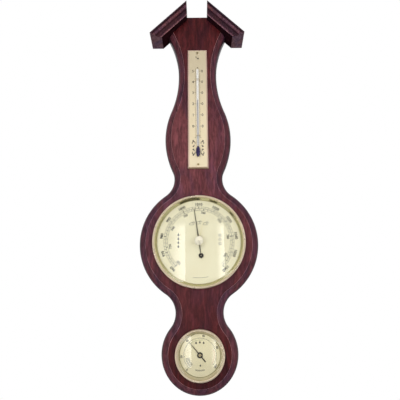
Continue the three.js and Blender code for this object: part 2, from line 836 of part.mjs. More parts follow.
/** The bezel: a rolled ring that stands on the board and laps over the edge of the glass. */
function housingBezel(housing) {
  const { bezelRadius, bezelWall, lipInner, lipUnder, lipThickness, crown, flangeBack, steps } = housing;
  const roll = bezelWall * 0.9;
  const rise = lipThickness * 0.6;
  return turned([
    [bezelRadius - bezelWall, flangeBack],
    [bezelRadius, flangeBack],
    ...arc(bezelRadius - roll, crown - roll, roll, roll, 0, Math.PI / 2, 3),
    ...arc(bezelRadius - roll, crown - rise, lipInner - bezelRadius + roll, rise, Math.PI / 2, 0, 2).slice(1),
    [lipInner, lipUnder],
    [bezelRadius - bezelWall, lipUnder],
  ], steps);
}

/** The domed glass, with a hole in the middle where a knob passes through it. */
function housingGlass({ glassRadius, lipInner, glassBack, glassThickness, glassRise, glassHole, steps }) {
  const domeRadius = lipInner - seatGap;
  const shares = [1, 2 / 3, 1 / 3];
  const dome = (base) => shares.map((share) => [domeRadius * share, base + glassRise * (1 - share * share)]);
  const holeRise = glassRise * (1 - (glassHole / domeRadius) ** 2);
  return turned([
    [glassHole, glassBack + holeRise],
    ...dome(glassBack).reverse(),
    [glassRadius, glassBack],
    [glassRadius, glassBack + glassThickness],
    ...dome(glassBack + glassThickness),
    [glassHole, glassBack + glassThickness + holeRise],
  ], steps);
}

/** The sloping band between the dial and the glass. */
function housingBand({ dialShown, glassRadius, dialFront, glassBack, steps }) {
  const [foot, top] = [dialFront + seatGap, glassBack - seatGap];
  const outer = glassRadius - dialRimGap / 2;
  return turned([
    [dialShown, foot],
    [dialShown + bandSheet, foot],
    [outer, top - bandSheet],
    [outer, top],
    [outer - bandSheet, top],
    [dialShown, foot + bandSheet],
  ], steps);
}

/** The dial: a flat disc with a hole for the hand's arbor. */
function housingDial({ dialRadius, dialFront, dialHole, steps }) {
  const dialBack = dialFront - dialThickness;
  return turned([
    [dialHole, dialBack],
    [dialRadius, dialBack],
    [dialRadius, dialFront],
    [dialHole, dialFront],
  ], steps);
}

/** Adds the five pieces of a housing, with extra holes in the case. */
function addHousing(group, name, sizes, caseHoles) {
  const housing = housingSizes(sizes);
  const shell = housingCase(housing);
  place(group, `${name}_case`, caseHoles.length ? cut(shell, ...caseHoles) : shell, caseMetal());
  place(group, `${name}_bezel`, housingBezel(housing), polishedBrass());
  place(group, `${name}_glass`, housingGlass(housing), clearGlass());
  place(group, `${name}_sloping_band`, housingBand(housing), polishedBrass());
  place(group, `${name}_dial`, housingDial(housing), dialMetal());
  return housing;
}

// Barometer: depths of the movement, from the back forwards

const baseBack = barometerCaseSetback + caseSheet + seatGap;
const baseFront = baseBack + baseThickness;
const capsuleBack = baseFront + seatGap;
const capsuleFront = capsuleBack + capsuleHeight;
const springUnder = capsuleFront + springRise;
const springTop = springUnder + springLeaf;
const plateBack = springTop + plateClearance;
const plateFront = plateBack + plateThickness;
const hairspringBack = plateFront + hairspringRise;
const hairspringFront = hairspringBack + hairspringHeight;
const sectorBack = hairspringFront + seatGap;
const sectorFront = sectorBack + sectorThickness;
const bridgeBack = sectorFront + bridgeClearance;
const bridgeFront = bridgeBack + bridgeThickness;
const barometerDialFront = bridgeFront + dialClearance + dialThickness;

// Barometer: places of the wheel work, right of the arbor
const pinionPitchRadius = (gearModule * pinionTeeth) / 2;
const sectorPitchRadius = (gearModule * sectorTeeth) / 2;
const staffX = pinionPitchRadius + sectorPitchRadius;
const forkX = staffX + sectorTailLength;
const rockerAxisDepth = baseFront + rockerDepth;
const springAxisX = -(capsuleRadius + springFootGap + springFootLength);
const crankX = forkX - crankReach;
const bracketLeft = forkX - bracketReach;
const bracketRight = bracketLeft + bracketSpan;
const crankEnd = bracketLeft - seatGap;
const stemHoleRadius = setStemRadius + seatGap + 0.1;

/** Adds the plate that carries the movement, its pillars to the dial and the screws from behind. */
function addBase(group) {
  const screwHeights = { upper: movementScrewSpacing / 2, lower: -movementScrewSpacing / 2 };
  const screwHoles = (front) => Object.values(screwHeights).map((z) => (
    pin(movementScrewRadius + seatGap, 0, front, 0, z)
  ));
  const adjusterX = springAxisX + 0.4 * springFootLength;
  const adjusterHole = pin(adjusterRadius + seatGap, 0, baseFront + through, adjusterX, 0);
  const base = pin(baseRadius, baseBack, baseFront, 0, 0, smallBezelSteps);
  place(group, 'movement_base', cut(base, ...screwHoles(baseFront + through), adjusterHole), satinBrass());

  const ring = baseRadius - pillarInset;
  for (let i = 0; i < pillarCount; i += 1) {
    const angle = (2 * Math.PI * i) / pillarCount;
    const [x, z] = [ring * Math.sin(angle), ring * Math.cos(angle)];
    const pillar = pin(pillarRadius, baseFront + seatGap, barometerDialFront - dialThickness - seatGap, x, z);
    place(group, `dial_pillar_${i + 1}`, pillar, satinBrass());
  }
  for (const [which, z] of Object.entries(screwHeights)) {
    const headFront = barometerCaseSetback - seatGap;
    const screw = join(
      pin(movementScrewHeadRadius, headFront - movementScrewHeadHeight, headFront, 0, z, screwSteps),
      pin(movementScrewRadius, headFront - movementScrewHeadHeight / 2, baseFront, 0, z),
    );
    place(group, `movement_screw_${which}`, screw, zincSteel());
  }
  const adjusterHeadFront = baseBack - seatGap;
  const adjusterBack = adjusterHeadFront - 2 * adjusterSlotDepth;
  const slot = block(
    adjusterX - 2 * adjusterHeadRadius, adjusterX + 2 * adjusterHeadRadius,
    adjusterBack - through, adjusterBack + adjusterSlotDepth, -adjusterSlotWidth / 2, adjusterSlotWidth / 2,
  );
  const adjuster = cut(join(
    pin(adjusterHeadRadius, adjusterBack, adjusterHeadFront, adjusterX, 0, screwSteps),
    pin(adjusterRadius, adjusterBack + adjusterSlotDepth, baseFront, adjusterX, 0),
  ), slot);
  place(group, 'adjusting_screw', adjuster, satinBrass());
  return [...screwHoles(baseBack), pin(adjusterHeadRadius + seatGap, 0, baseBack, adjusterX, 0, screwSteps)];
}

/** Adds the evacuated capsule, the leaf spring over it, the post between them and the lever on the spring. */
function addCapsule(group) {
  const middle = (capsuleBack + capsuleFront) / 2;
  const rim = capsuleRimThickness / 2;
  const waveInner = capsuleBossRadius + 1;
  const waveWidth = (capsuleRadius - 2 - waveInner) / (2 * capsuleWaves);
  const skin = (side) => {
    const level = middle + side * (capsuleHeight / 2 - 0.9);
    const waves = Array.from({ length: 2 * capsuleWaves + 1 }, (_, i) => [
      waveInner + i * waveWidth, level + side * (i % 2 ? capsuleWaveHeight : -capsuleWaveHeight),
    ]);
    return [
      [0, middle + (side * capsuleHeight) / 2],
      [capsuleBossRadius, middle + (side * capsuleHeight) / 2],
      ...waves,
      [capsuleRadius - 1, middle + side * rim],
      [capsuleRadius, middle + side * rim],
    ];
  };
  place(group, 'aneroid_capsule', turned([...skin(-1), ...skin(1).reverse()], capsuleSteps), capsuleMetal());

  const bendRadius = (springTop - capsuleBack) / 2;
  const bendDepth = capsuleBack + bendRadius;
  const innerRadius = bendRadius - springLeaf;
  const section = [
    [springAxisX + springFootLength, capsuleBack],
    ...arc(springAxisX, bendDepth, -bendRadius, bendRadius, -Math.PI / 2, Math.PI / 2, 8),
    [springReach, springTop],
    [springReach, springUnder],
    ...arc(springAxisX, bendDepth, -innerRadius, innerRadius, Math.PI / 2, -Math.PI / 2, 8),
    [springAxisX + springFootLength, capsuleBack + springLeaf],
  ];
  const plan = polygon([
    [springAxisX - bendRadius - through, -springWidth / 2],
    [0, -springWidth / 2],
    [springReach + through, -springTipWidth / 2],
    [springReach + through, springTipWidth / 2],
    [0, springWidth / 2],
    [springAxisX - bendRadius - through, springWidth / 2],
  ]);
  const leaf = overlapOf(column(section, -springWidth, springWidth), slab(plan, 0, springTop + through));
  const postHole = pin(postRadius + seatGap, springUnder - through, springTop + through);
  place(group, 'capsule_spring', cut(leaf, postHole), springSteel());

  const post = turned([
    [0, capsuleFront + postStroke],
    [postCollarRadius, capsuleFront + postStroke],
    [postCollarRadius, springUnder - seatGap],
    [postRadius, springUnder - seatGap],
    [postRadius, springTop + plateClearance / 2],
    [0, springTop + plateClearance / 2],
  ], screwSteps);
  place(group, 'capsule_post', post, satinBrass());

  const rootBack = springUnder - seatGap - leverSheet;
  const tipBack = rockerAxisDepth + crankRadius + seatGap;
  const bendX = (springReach + crankX) / 2;
  const strip = polygon([
    [springReach - leverOverlap, -rootBack],
    [springReach, -rootBack],
    [bendX, -tipBack],
    [crankEnd, -tipBack],
    [crankEnd, -tipBack - leverSheet],
    [bendX, -tipBack - leverSheet],
    [springReach, -rootBack - leverSheet],
    [springReach - leverOverlap, -rootBack - leverSheet],
  ]);
  const lever = extruded(strip, leverWidth).translate(0, 0, rockerRadius + seatGap);
  place(group, 'main_lever', lever, springSteel());
}

/** Adds the rocking shaft, which turns the lever's small push into the sector's swing, and its bracket. */
function addRocker(group) {
  const strapBack = baseFront + seatGap;
  const half = bracketHalfWidth;
  const cheekFront = rockerAxisDepth + rockerRadius + pivotGap + bracketSheet;
  const cheek = (left) => block(left, left + bracketSheet, strapBack, cheekFront, -half, half);
  const bracket = cut(
    join(
      block(bracketLeft, bracketRight, strapBack, strapBack + bracketSheet, -half, half),
      cheek(bracketLeft),
      cheek(bracketRight - bracketSheet),
    ),
    crossPin(rockerRadius + pivotGap, bracketLeft - through, bracketRight + through, rockerAxisDepth, 0),
  );
  place(group, 'rocker_bracket', bracket, satinBrass());

  const shaft = join(
    crossPin(rockerRadius, crankX, bracketRight + seatGap, rockerAxisDepth, 0),
    block(
      crankX, crankX + 2.5 * crankRadius,
      rockerAxisDepth - crankRadius * 0.8, rockerAxisDepth + crankRadius * 0.8, 0, crankThrow,
    ),
    crossPin(crankRadius, crankX, crankEnd, rockerAxisDepth, crankThrow),
    pin(rockerArmRadius, rockerAxisDepth, sectorFront + seatGap + rockerArmRadius / 2, forkX, 0),
  );
  place(group, 'rocking_shaft', shaft, springSteel());
}

/** Adds the plate and bridge between which the wheels turn, the plate's four posts and the bridge's screw. */
function addBridge(group) {
  const postX = [-(capsuleRadius + springFootGap * 2), staffX - platePostRadius * 1.2];
  const postZ = springWidth / 2 + platePostRadius + 1;
  const [left, right] = [postX[0] - plateMargin, staffX + sectorHubRadius + 0.4];
  const plan = roundedRectangle(right - left, 2 * (postZ + plateMargin), plateMargin, (left + right) / 2, 0);
  const footRight = -(hairspringOuterRadius + bridgeFootLength * 0.6);
  const footLeft = footRight - bridgeFootLength;
  const screwX = (footLeft + footRight - bridgeThickness) / 2;
  const posts = postX.flatMap((x) => [[x, -postZ], [x, postZ]]);
  for (const [x, z] of posts) {
    plan.holes.push(disc(platePostNeckRadius + seatGap, shaftSteps, x, z));
  }
  for (const x of [0, staffX]) {
    plan.holes.push(disc(pivotRadius + pivotGap, shaftSteps, x));
  }
  plan.holes.push(disc(bridgeScrewRadius + seatGap, shaftSteps, screwX));
  const studX = -(hairspringOuterRadius + hairspringRibbon / 2 + seatGap + studRadius);
  const stud = pin(studRadius, plateFront - plateThickness / 2, hairspringFront, studX, 0);
  place(group, 'movement_plate', join(slab(plan, plateBack, plateFront), stud), satinBrass());

  posts.forEach(([x, z], i) => {
    const shoulder = plateBack - seatGap;
    const post = turned([
      [0, baseFront + seatGap],
      [platePostRadius, baseFront + seatGap],
      [platePostRadius, shoulder],
      [platePostNeckRadius, shoulder],
      [platePostNeckRadius, plateFront + seatGap / 2],
      [0, plateFront + seatGap / 2],
    ], shaftSteps, x, z);
    place(group, `plate_post_${i + 1}`, post, satinBrass());
  });

  const bridgeRight = staffX + sectorHubRadius;
  const half = bridgeWidth / 2;
  const bridge = cut(
    join(
      block(footLeft, footRight, plateFront + seatGap, plateFront + seatGap + bridgeThickness, -half, half),
      block(footRight - bridgeThickness, footRight, plateFront + seatGap, bridgeFront, -half, half),
      block(footRight - bridgeThickness, bridgeRight, bridgeBack, bridgeFront, -half, half),
    ),
    pin(pivotRadius + pivotGap, bridgeBack - through, bridgeFront + through),
    pin(pivotRadius + pivotGap, bridgeBack - through, bridgeFront + through, staffX, 0),
    pin(bridgeScrewRadius + seatGap, plateFront, plateFront + 2 * bridgeThickness, screwX, 0),
  );
  place(group, 'movement_bridge', bridge, satinBrass());
  const head = plateFront + 2 * seatGap + bridgeThickness;
  const screw = join(
    pin(bridgeScrewHeadRadius, head, head + bridgeThickness * 0.9, screwX, 0, screwSteps),
    pin(bridgeScrewRadius, plateBack + seatGap, head + bridgeThickness / 2, screwX, 0),
  );
  place(group, 'bridge_screw', screw, zincSteel());
}

/** Adds the toothed sector on its staff, and the arbor with its pinion and hairspring. */
function addWheels(group) {
  const pitch = (2 * Math.PI) / sectorTeeth;
  const firstTooth = Math.PI - ((sectorTeethShown - 1) / 2) * pitch;
  const middles = Array.from({ length: sectorTeethShown }, (_, i) => firstTooth + i * pitch);
  const rimInner = sectorPitchRadius - gearModule - gearGap - sectorSpokeWidth;
  const halfSpan = (sectorTeethShown / 2) * pitch;
  const windowHalf = halfSpan - sectorSpokeWidth / rimInner;
  const windowOuter = arc(0, 0, -rimInner, rimInner, windowHalf, -windowHalf, 8);
  const rimOverHub = sectorHubRadius + sectorSpokeWidth;
  const windowInner = arc(0, 0, -rimOverHub, rimOverHub, -windowHalf / 2, windowHalf / 2, 1);
  const fan = polygon([[0, 0], ...gearTeeth(sectorPitchRadius, middles)]);
  fan.holes.push(polygon([...windowOuter, ...windowInner]));
  const tailEnd = sectorTailLength + 2 * forkHalfWidth;
  const slotStart = sectorTailLength - 2.5 * forkHalfWidth;
  const [slotBack, slotFront] = [sectorBack - through, sectorFront + through];
  const sector = cut(
    join(
      slab(fan, sectorBack, sectorFront),
      pin(sectorHubRadius, sectorBack, sectorFront, 0, 0, screwSteps),
      block(0, tailEnd, sectorBack, sectorFront, -sectorTailWidth / 2, sectorTailWidth / 2),
    ),
    pin(pivotRadius + pivotGap, slotBack, slotFront),
    block(slotStart, tailEnd + through, slotBack, slotFront, -forkHalfWidth, forkHalfWidth),
  );
  place(group, 'toothed_sector', sector.translate(staffX, 0, 0), satinBrass());

  const collarBack = plateFront + seatGap;
  const collarFront = sectorBack - seatGap;
  const staff = turned([
    [0, plateBack],
    [pivotRadius, plateBack],
    [pivotRadius, collarBack],
    [sectorHubRadius * 0.7, collarBack],
    [sectorHubRadius * 0.7, collarFront],
    [pivotRadius, collarFront],
    [pivotRadius, bridgeFront],
    [0, bridgeFront],
  ], shaftSteps, staffX, 0);
  place(group, 'sector_staff', staff, springSteel());

  const pinionPitch = (2 * Math.PI) / pinionTeeth;
  const pinionMiddles = Array.from({ length: pinionTeeth }, (_, i) => (i + 0.5) * pinionPitch);
  const pinionBack = (sectorBack + sectorFront - pinionWidth) / 2;
  const arbor = join(
    pin(pivotRadius, plateBack, barometerDialFront + handLift + 2 * handThickness),
    slab(polygon(gearTeeth(pinionPitchRadius, pinionMiddles)), pinionBack, pinionBack + pinionWidth),
  );
  place(group, 'pointer_arbor', arbor, springSteel());
  const innerRadius = pivotRadius + seatGap + hairspringRibbon / 2;
  const ribbon = spiral(innerRadius, hairspringOuterRadius, hairspringTurns, hairspringRibbon, 18);
  place(group, 'hairspring', slab(ribbon, hairspringBack, hairspringFront - seatGap / 2), satinBrass());
}

/** Adds the black pressure pointer, and the brass set hand with the knob that turns it through the glass. */
function addBarometerHands(group, housing) {
  const back = barometerDialFront + handLift;
  const front = back + handThickness;
  const ring = pin(pressureTailRingRadius, back, front, 0, -pressureTail, screwSteps);
  const tailEnd = pressureTail + pressureTailRingRadius / 2;
  const pointer = cut(
    join(
      slab(needle(pressureLength, pressureRootWidth, handThickness), back, front),
      slab(needle(0, pressureHubRadius * 1.6, pressureHubRadius, tailEnd, handThickness * 2), back, front),
      ring,
      slab(needle(0, 0.5, 0.5, pressureTailNub, 1), back, front),
      pin(pressureHubRadius, back, front + handThickness, 0, 0, screwSteps),
    ),
    pin(pressureTailRingBore, back - through, front + through, 0, -pressureTail, shaftSteps),
    pin(pivotRadius + seatGap, back - through, front + handThickness + through),
  );
  place(group, 'pressure_pointer', clockwise(pointer, pressureAngle), blackHand());

  const handBack = barometerDialFront + setHandLift;
  const bossFront = handBack + setBossHeight;
  const hand = cut(
    join(
      slab(needle(setHandLength, setHandWidth, handThickness), handBack, handBack + handThickness),
      pin(setBossRadius, handBack, bossFront, 0, 0, screwSteps),
    ),
    pin(setStemRadius + seatGap, handBack - through, bossFront + through),
  );
  place(group, 'set_hand', clockwise(hand, setHandAngle), polishedBrass());

  const glassMiddleBack = housing.glassBack + housing.glassRise;
  const washerFront = glassMiddleBack - seatGap;
  const washer = turned([
    [setStemRadius + seatGap, washerFront - setWasherThickness],
    [setWasherRadius, washerFront - setWasherThickness],
    [setWasherRadius, washerFront],
    [setStemRadius + seatGap, washerFront],
  ], screwSteps);
  place(group, 'set_washer', washer, satinBrass());

  const knobBack = housing.glassFront + housing.glassRise + seatGap;
  const knob = turned([
    [0, handBack],
    [setStemRadius, handBack],
    [setStemRadius, knobBack],
    [setKnobRadius - 0.5, knobBack],
    [setKnobRadius, knobBack + 0.5],
    [setKnobRadius, knobBack + 1.3],
    ...arc(0, knobBack + 1.3, setKnobRadius * 0.85, setKnobHeight - 1.3, 0.1, Math.PI / 2, 4),
  ], capsuleSteps);
  place(group, 'set_knob', knob, polishedBrass());
}

/** Adds the whole barometer. */
function addBarometer(group) {
  const caseHoles = addBase(group);
  addCapsule(group);
  addRocker(group);
  addBridge(group);
  addWheels(group);
  const housing = addHousing(group, 'barometer', {
    bezelRadius: barometerBezelRadius,
    bezelWall: barometerBezelWall,
    bandWidth: barometerBandWidth,
    boreMargin: barometerBoreMargin,
    lipOverlap: barometerLipOverlap,
    lipThickness: barometerLipThickness,
    dialFront: barometerDialFront,
    dialHole: pivotRadius + seatGap,
    handRoom: barometerHandRoom,
    glassThickness: barometerGlassThickness,
    glassRise: barometerGlassRise,
    glassHole: stemHoleRadius,
    caseSetback: barometerCaseSetback,
    steps: bezelSteps,
  }, caseHoles);
  addBarometerHands(group, housing);
}

/** Adds the whole hygrometer: a housing, a yoke in its back, and the humidity coil that turns the hand. */
function addHygrometer(group) {
  const dialFront = boardThickness + hygrometerDialRise;
  addHousing(group, 'hygrometer', {
    bezelRadius: hygrometerBezelRadius,
    bezelWall: hygrometerBezelWall,
    bandWidth: hygrometerBandWidth,
    boreMargin: hygrometerBoreMargin,
    lipOverlap: hygrometerLipOverlap,
    lipThickness: hygrometerLipThickness,
    dialFront,
    dialHole: hygrometerPivotRadius + seatGap,
    handRoom: hygrometerHandRoom,
    glassThickness: hygrometerGlassThickness,
    glassRise: hygrometerGlassRise,
    glassHole: 0,
    caseSetback: hygrometerCaseSetback,
    steps: smallBezelSteps,
  }, []);

  const yokeBack = hygrometerCaseSetback + caseSheet + seatGap;
  const yokeFront = yokeBack + yokeThickness;
  const coilBack = coilCentreDepth - coilHeight / 2;
  const coilFront = coilCentreDepth + coilHeight / 2;
  const coilPostX = -(coilOuterRadius + coilRibbon / 2 + seatGap + coilPostRadius);
  const yokeHalf = coilPostRadius * 2 - coilPostX;
  const yoke = cut(
    join(
      slab(roundedRectangle(2 * yokeHalf, yokeWidth, yokeWidth / 3), yokeBack, yokeFront),
      pin(yokeBossRadius, yokeBack, yokeFront + yokeBossHeight, 0, 0, screwSteps),
      pin(coilPostRadius, yokeBack, coilFront, coilPostX, 0),
    ),
    pin(hygrometerPivotRadius + pivotGap, yokeFront, yokeFront + 2 * yokeBossHeight),
  );
  place(group, 'hygrometer_yoke', yoke, satinBrass());

  const ribbon = spiral(
    hygrometerPivotRadius * 2 + seatGap + coilRibbon / 2, coilOuterRadius, coilTurns, coilRibbon, 20,
  );
  place(group, 'humidity_coil', slab(ribbon, coilBack, coilFront), capsuleMetal());

  const back = dialFront + humidityLift;
  const front = back + handThickness;
  const arbor = join(
    pin(hygrometerPivotRadius, yokeFront + seatGap, front + 2 * handThickness),
    pin(hygrometerPivotRadius * 2, coilBack, coilFront),
  );
  place(group, 'hygrometer_arbor', arbor, polishedBrass());

  const hand = cut(
    join(
      slab(needle(humidityLength, humidityRootWidth, handThickness, humidityTail), back, front),
      turned([
        [0, back],
        [humidityHubRadius, back],
        [humidityHubRadius, front],
        [humidityHubRadius * 0.6, front + handThickness],
        [0, front + handThickness],
      ], screwSteps),
    ),
    pin(hygrometerPivotRadius + seatGap, back - through, front + handThickness + through),
  );
  place(group, 'humidity_pointer', clockwise(hand, humidityAngle), blackHand());
}

/** The whole weather station, hung on its nail at the origin. */
function weatherStation() {
  const station = new THREE.Group();
  const body = new THREE.Group();
  body.position.set(0, 0, -nailHeight);
  const hygrometer = new THREE.Group();
  hygrometer.position.set(0, 0, -hygrometerDrop);
  addCase(body);
  addThermometer(body);
  addBarometer(body);
  addHygrometer(hygrometer);
  body.add(hygrometer);
  station.add(body);
  return station;
}

export default weatherStation();
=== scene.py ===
"""Dresses a wall weather station: a moulded mahogany board with a gable roof, a thermometer on a champagne
plate, an aneroid barometer and a hygrometer, in a plain white studio.

Lengths are millimetres, as x, depth from the wall and height, and they turn into the frame's metres in Form.
"""
import json
import logging
import math
from collections.abc import Callable, Sequence
from dataclasses import dataclass, field
from enum import Enum
from typing import ClassVar

import bmesh
import bpy
from mathutils import Matrix, Vector


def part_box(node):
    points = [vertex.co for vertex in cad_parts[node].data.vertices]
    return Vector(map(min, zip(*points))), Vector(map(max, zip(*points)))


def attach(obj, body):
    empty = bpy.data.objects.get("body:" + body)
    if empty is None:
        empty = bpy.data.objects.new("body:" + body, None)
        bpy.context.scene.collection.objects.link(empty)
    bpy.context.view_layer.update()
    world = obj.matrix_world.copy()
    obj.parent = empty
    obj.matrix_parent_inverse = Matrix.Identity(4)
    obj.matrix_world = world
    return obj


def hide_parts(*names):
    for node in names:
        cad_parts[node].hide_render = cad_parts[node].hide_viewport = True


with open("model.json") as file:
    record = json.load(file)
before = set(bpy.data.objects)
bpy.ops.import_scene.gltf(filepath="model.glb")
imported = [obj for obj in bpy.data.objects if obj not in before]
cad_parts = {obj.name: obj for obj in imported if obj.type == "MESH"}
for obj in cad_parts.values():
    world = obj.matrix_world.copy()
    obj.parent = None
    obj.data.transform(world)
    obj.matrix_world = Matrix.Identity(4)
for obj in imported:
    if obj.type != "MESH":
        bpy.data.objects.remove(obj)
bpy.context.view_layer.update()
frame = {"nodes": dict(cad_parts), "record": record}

MM = 0.001
QUARTER = math.pi / 2
# The radius of a profile's end on its axis, in millimetres, and how close corners are merged, in metres.
AXIS = 0.0001
WELD = 1e-6
log = logging.getLogger("weather_station")

Pair = tuple[float, float]
Point = tuple[float, float, float]
Colour = tuple[float, float, float]
Path = Sequence[Pair]
Disc = tuple[Vector, float]
Grades = tuple[tuple[int, float, float], ...]
Piece = bpy.types.Object
Socket = bpy.types.NodeSocket
Material = bpy.types.Material


class Side(Enum):
    """The viewer's left and right."""

    LEFT = -1
    RIGHT = 1


def arc(x: float, y: float, rx: float, ry: float, start: float, end: float, steps: int) -> list[Pair]:
    """Points on an ellipse from one angle in radians to another, with both ends."""
    angles = [start + (end - start) * i / steps for i in range(steps + 1)]
    return [(x + rx * math.cos(a), y + ry * math.sin(a)) for a in angles]


def circle(x: float, y: float, radius: float, steps: int) -> list[Pair]:
    """A closed circle's points, the first one given once."""
    return arc(x, y, radius, radius, 0, 2 * math.pi, steps)[:-1]


def rectangle(left: float, right: float, bottom: float, top: float) -> list[Pair]:
    """The corners of a rectangle."""
    return [(left, bottom), (right, bottom), (right, top), (left, top)]


def clock(radius: float, degrees: float) -> Pair:
    """The point on a dial at a radius, with degrees counted clockwise from the top."""
    angle = math.radians(degrees)
    return radius * math.sin(angle), radius * math.cos(angle)


def swing(x: float, z: float, degrees: float) -> Pair:
    """A point turned clockwise about the origin."""
    sine, cosine = clock(1.0, degrees)
    return x * cosine + z * sine, z * cosine - x * sine


def graded(value: int, grades: Grades) -> Pair:
    """The two sizes of a value's tick, from the first grade whose number divides the value."""
    return next((first, second) for step, first, second in grades if value % step == 0)


def headings(path: Path) -> list[tuple[float, float, Vector]]:
    """Each point of a path with the path's direction there.

    Args:
        path: the points.

    Returns:
        A row of x, y and direction for each point.
    """
    rows = []
    for i, (x, y) in enumerate(path):
        (x0, y0), (x1, y1) = path[max(i - 1, 0)], path[min(i + 1, len(path) - 1)]
        rows.append((x, y, Vector((x1 - x0, y1 - y0)).normalized()))
    return rows


@dataclass(frozen=True)
class Extent:
    """How far a node of the frame reaches, in millimetres.

    Attributes:
        left, right: its sides.
        back, front: its least and its greatest depth.
        bottom, top: its ends.
    """

    left: float
    right: float
    back: float
    front: float
    bottom: float
    top: float

    @classmethod
    def of(cls, node: str) -> "Extent":
        """Reads the box of a node.

        Args:
            node: the node's name.

        Returns:
            Its extent.
        """
        low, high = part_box(node)
        low, high = low / MM, high / MM
        return cls(low.x, high.x, -high.y, -low.y, low.z, high.z)

    @property
    def centre(self) -> Pair:
        """The x and height of its middle."""
        return (self.left + self.right) / 2, (self.bottom + self.top) / 2

    @property
    def axis(self) -> float:
        """The depth of its middle."""
        return (self.back + self.front) / 2

    @property
    def radius(self) -> float:
        """Half of its width."""
        return (self.right - self.left) / 2


# Meshes


@dataclass
class Form:
    """A mesh in the making, in a sub-assembly's own millimetres.

    Attributes:
        centre: the x and height of the sub-assembly's axis in the frame.
        points: the corners so far, as x, depth and height.
        faces: the faces so far, as indices into the points.
    """

    centre: Pair = (0.0, 0.0)
    points: list[Point] = field(default_factory=list)
    faces: list[tuple[int, ...]] = field(default_factory=list)

    def add(self, points: Sequence[Point], faces: Sequence[Sequence[int]]) -> "Form":
        """Adds corners, and faces that count from the first of them.

        Args:
            points: the corners.
            faces: each face's corners, by number.

        Returns:
            The form itself.
        """
        first = len(self.points)
        self.points.extend(points)
        self.faces.extend(tuple(first + i for i in face) for face in faces)
        return self

    def stack(self, levels: Sequence[Sequence[Point]], closed: bool = False) -> "Form":
        """Skins a row of outlines that have the same number of points.

        Args:
            levels: the outlines, each a closed loop.
            closed: whether the last outline joins the first, in place of a cap at each end.

        Returns:
            The form itself.
        """
        count = len(levels[0])
        faces: list[tuple[int, ...]] = []
        for level in range(len(levels) if closed else len(levels) - 1):
            here, there = level * count, (level + 1) % len(levels) * count
            for i in range(count):
                j = (i + 1) % count
                faces.append((here + i, here + j, there + j, there + i))
        if not closed:
            faces.append(tuple(reversed(range(count))))
            faces.append(tuple((len(levels) - 1) * count + i for i in range(count)))
        return self.add([point for level in levels for point in level], faces)

    def turned(self, profile: Path, steps: int, rise: float = 0.0) -> "Form":
        """Turns a closed profile round an axis that points at the viewer.

        Args:
            profile: the profile, as (radius, depth).
            steps: how many steps the turn has.
            rise: the axis's height over the sub-assembly's own.

        Returns:
            The form itself.
        """
        ring = [2 * math.pi * i / steps for i in range(steps)]
        rows = [[(r * math.sin(a), d, rise + r * math.cos(a)) for a in ring] for r, d in profile]
        return self.stack(rows, closed=True)

    def upright(self, profile: Path, steps: int, depth: float) -> "Form":
        """Turns a profile of (radius, height) round an upright axis at a depth."""
        ring = circle(0, 0, 1, steps)
        return self.stack([[(r * x, depth + r * d, height) for x, d in ring] for r, height in profile])

    def prism(self, outline: Path, back: float, front: float) -> "Form":
        """Draws an outline of (x, height) out between two depths."""
        return self.stack([[(x, depth, z) for x, z in outline] for depth in (back, front)])

    def blade(self, rows: Path, back: float, front: float) -> "Form":
        """Adds a flat blade that is even about the middle, from its rows of (half width, height)."""
        (width, foot), *others = rows
        return self.prism([(-width, foot), *rows, *((-x, z) for x, z in reversed(others))], back, front)

    def patch(self, outline: Path, depth: float) -> "Form":
        """Lays a flat outline of (x, height) at a depth."""
        return self.add([(x, depth, z) for x, z in outline], [range(len(outline))])

    def stroke(self, path: Path, width: float | Callable[[float], float], depth: float) -> "Form":
        """Lays a flat line of ink along a path.

        Args:
            path: its middle line, as (x, height).
            width: its width, or a rule that gives the width for a share of its length.
            depth: where it lies.

        Returns:
            The form itself.
        """
        rows: list[Point] = []
        last = len(path) - 1
        for i, (x, z, way) in enumerate(headings(path)):
            half = (width(i / last) if callable(width) else width) / 2
            rows.append((x - way.y * half, depth, z + way.x * half))
            rows.append((x + way.y * half, depth, z - way.x * half))
        return self.add(rows, [(2 * i, 2 * i + 1, 2 * i + 3, 2 * i + 2) for i in range(last)])

    def wire(self, path: Path, radius: float, height: float) -> "Form":
        """Bends a round wire along a level path.

        Args:
            path: its middle line, as (x, depth).
            radius: its radius.
            height: the height of the path.

        Returns:
            The form itself.
        """
        ring = circle(0, 0, radius, 10)
        return self.stack([[(x - way.y * a, d + way.x * a, height + b) for a, b in ring]
                           for x, d, way in headings(path)])

    def words(self, text: str, height: float, at: Pair, depth: float, turn: float = 0.0,
              weight: float = 0.032) -> "Form":
        """Lays printed signs.

        Args:
            text: the signs.
            height: how high a sign stands.
            at: the middle of the text, as (x, height).
            depth: where the ink lies.
            turn: degrees clockwise.
            weight: how much the signs' lines are thickened, as a share of their size.

        Returns:
            The form itself.
        """
        curve = bpy.data.curves.new("print", "FONT")
        curve.body, curve.offset, curve.resolution_u = text, weight, 3
        curve.align_x = curve.align_y = "CENTER"
        holder = bpy.data.objects.new("print", curve)
        mesh = bpy.data.meshes.new_from_object(holder)
        rows = [v.co.y for v in mesh.vertices]
        size, middle = height / (max(rows) - min(rows)), (max(rows) + min(rows)) / 2
        points = []
        for vertex in mesh.vertices:
            x, z = swing(vertex.co.x * size, (vertex.co.y - middle) * size, turn)
            points.append((at[0] + x, depth, at[1] + z))
        faces = [tuple(polygon.vertices) for polygon in mesh.polygons]
        bpy.data.objects.remove(holder)
        bpy.data.curves.remove(curve)
        bpy.data.meshes.remove(mesh)
        return self.add(points, faces)

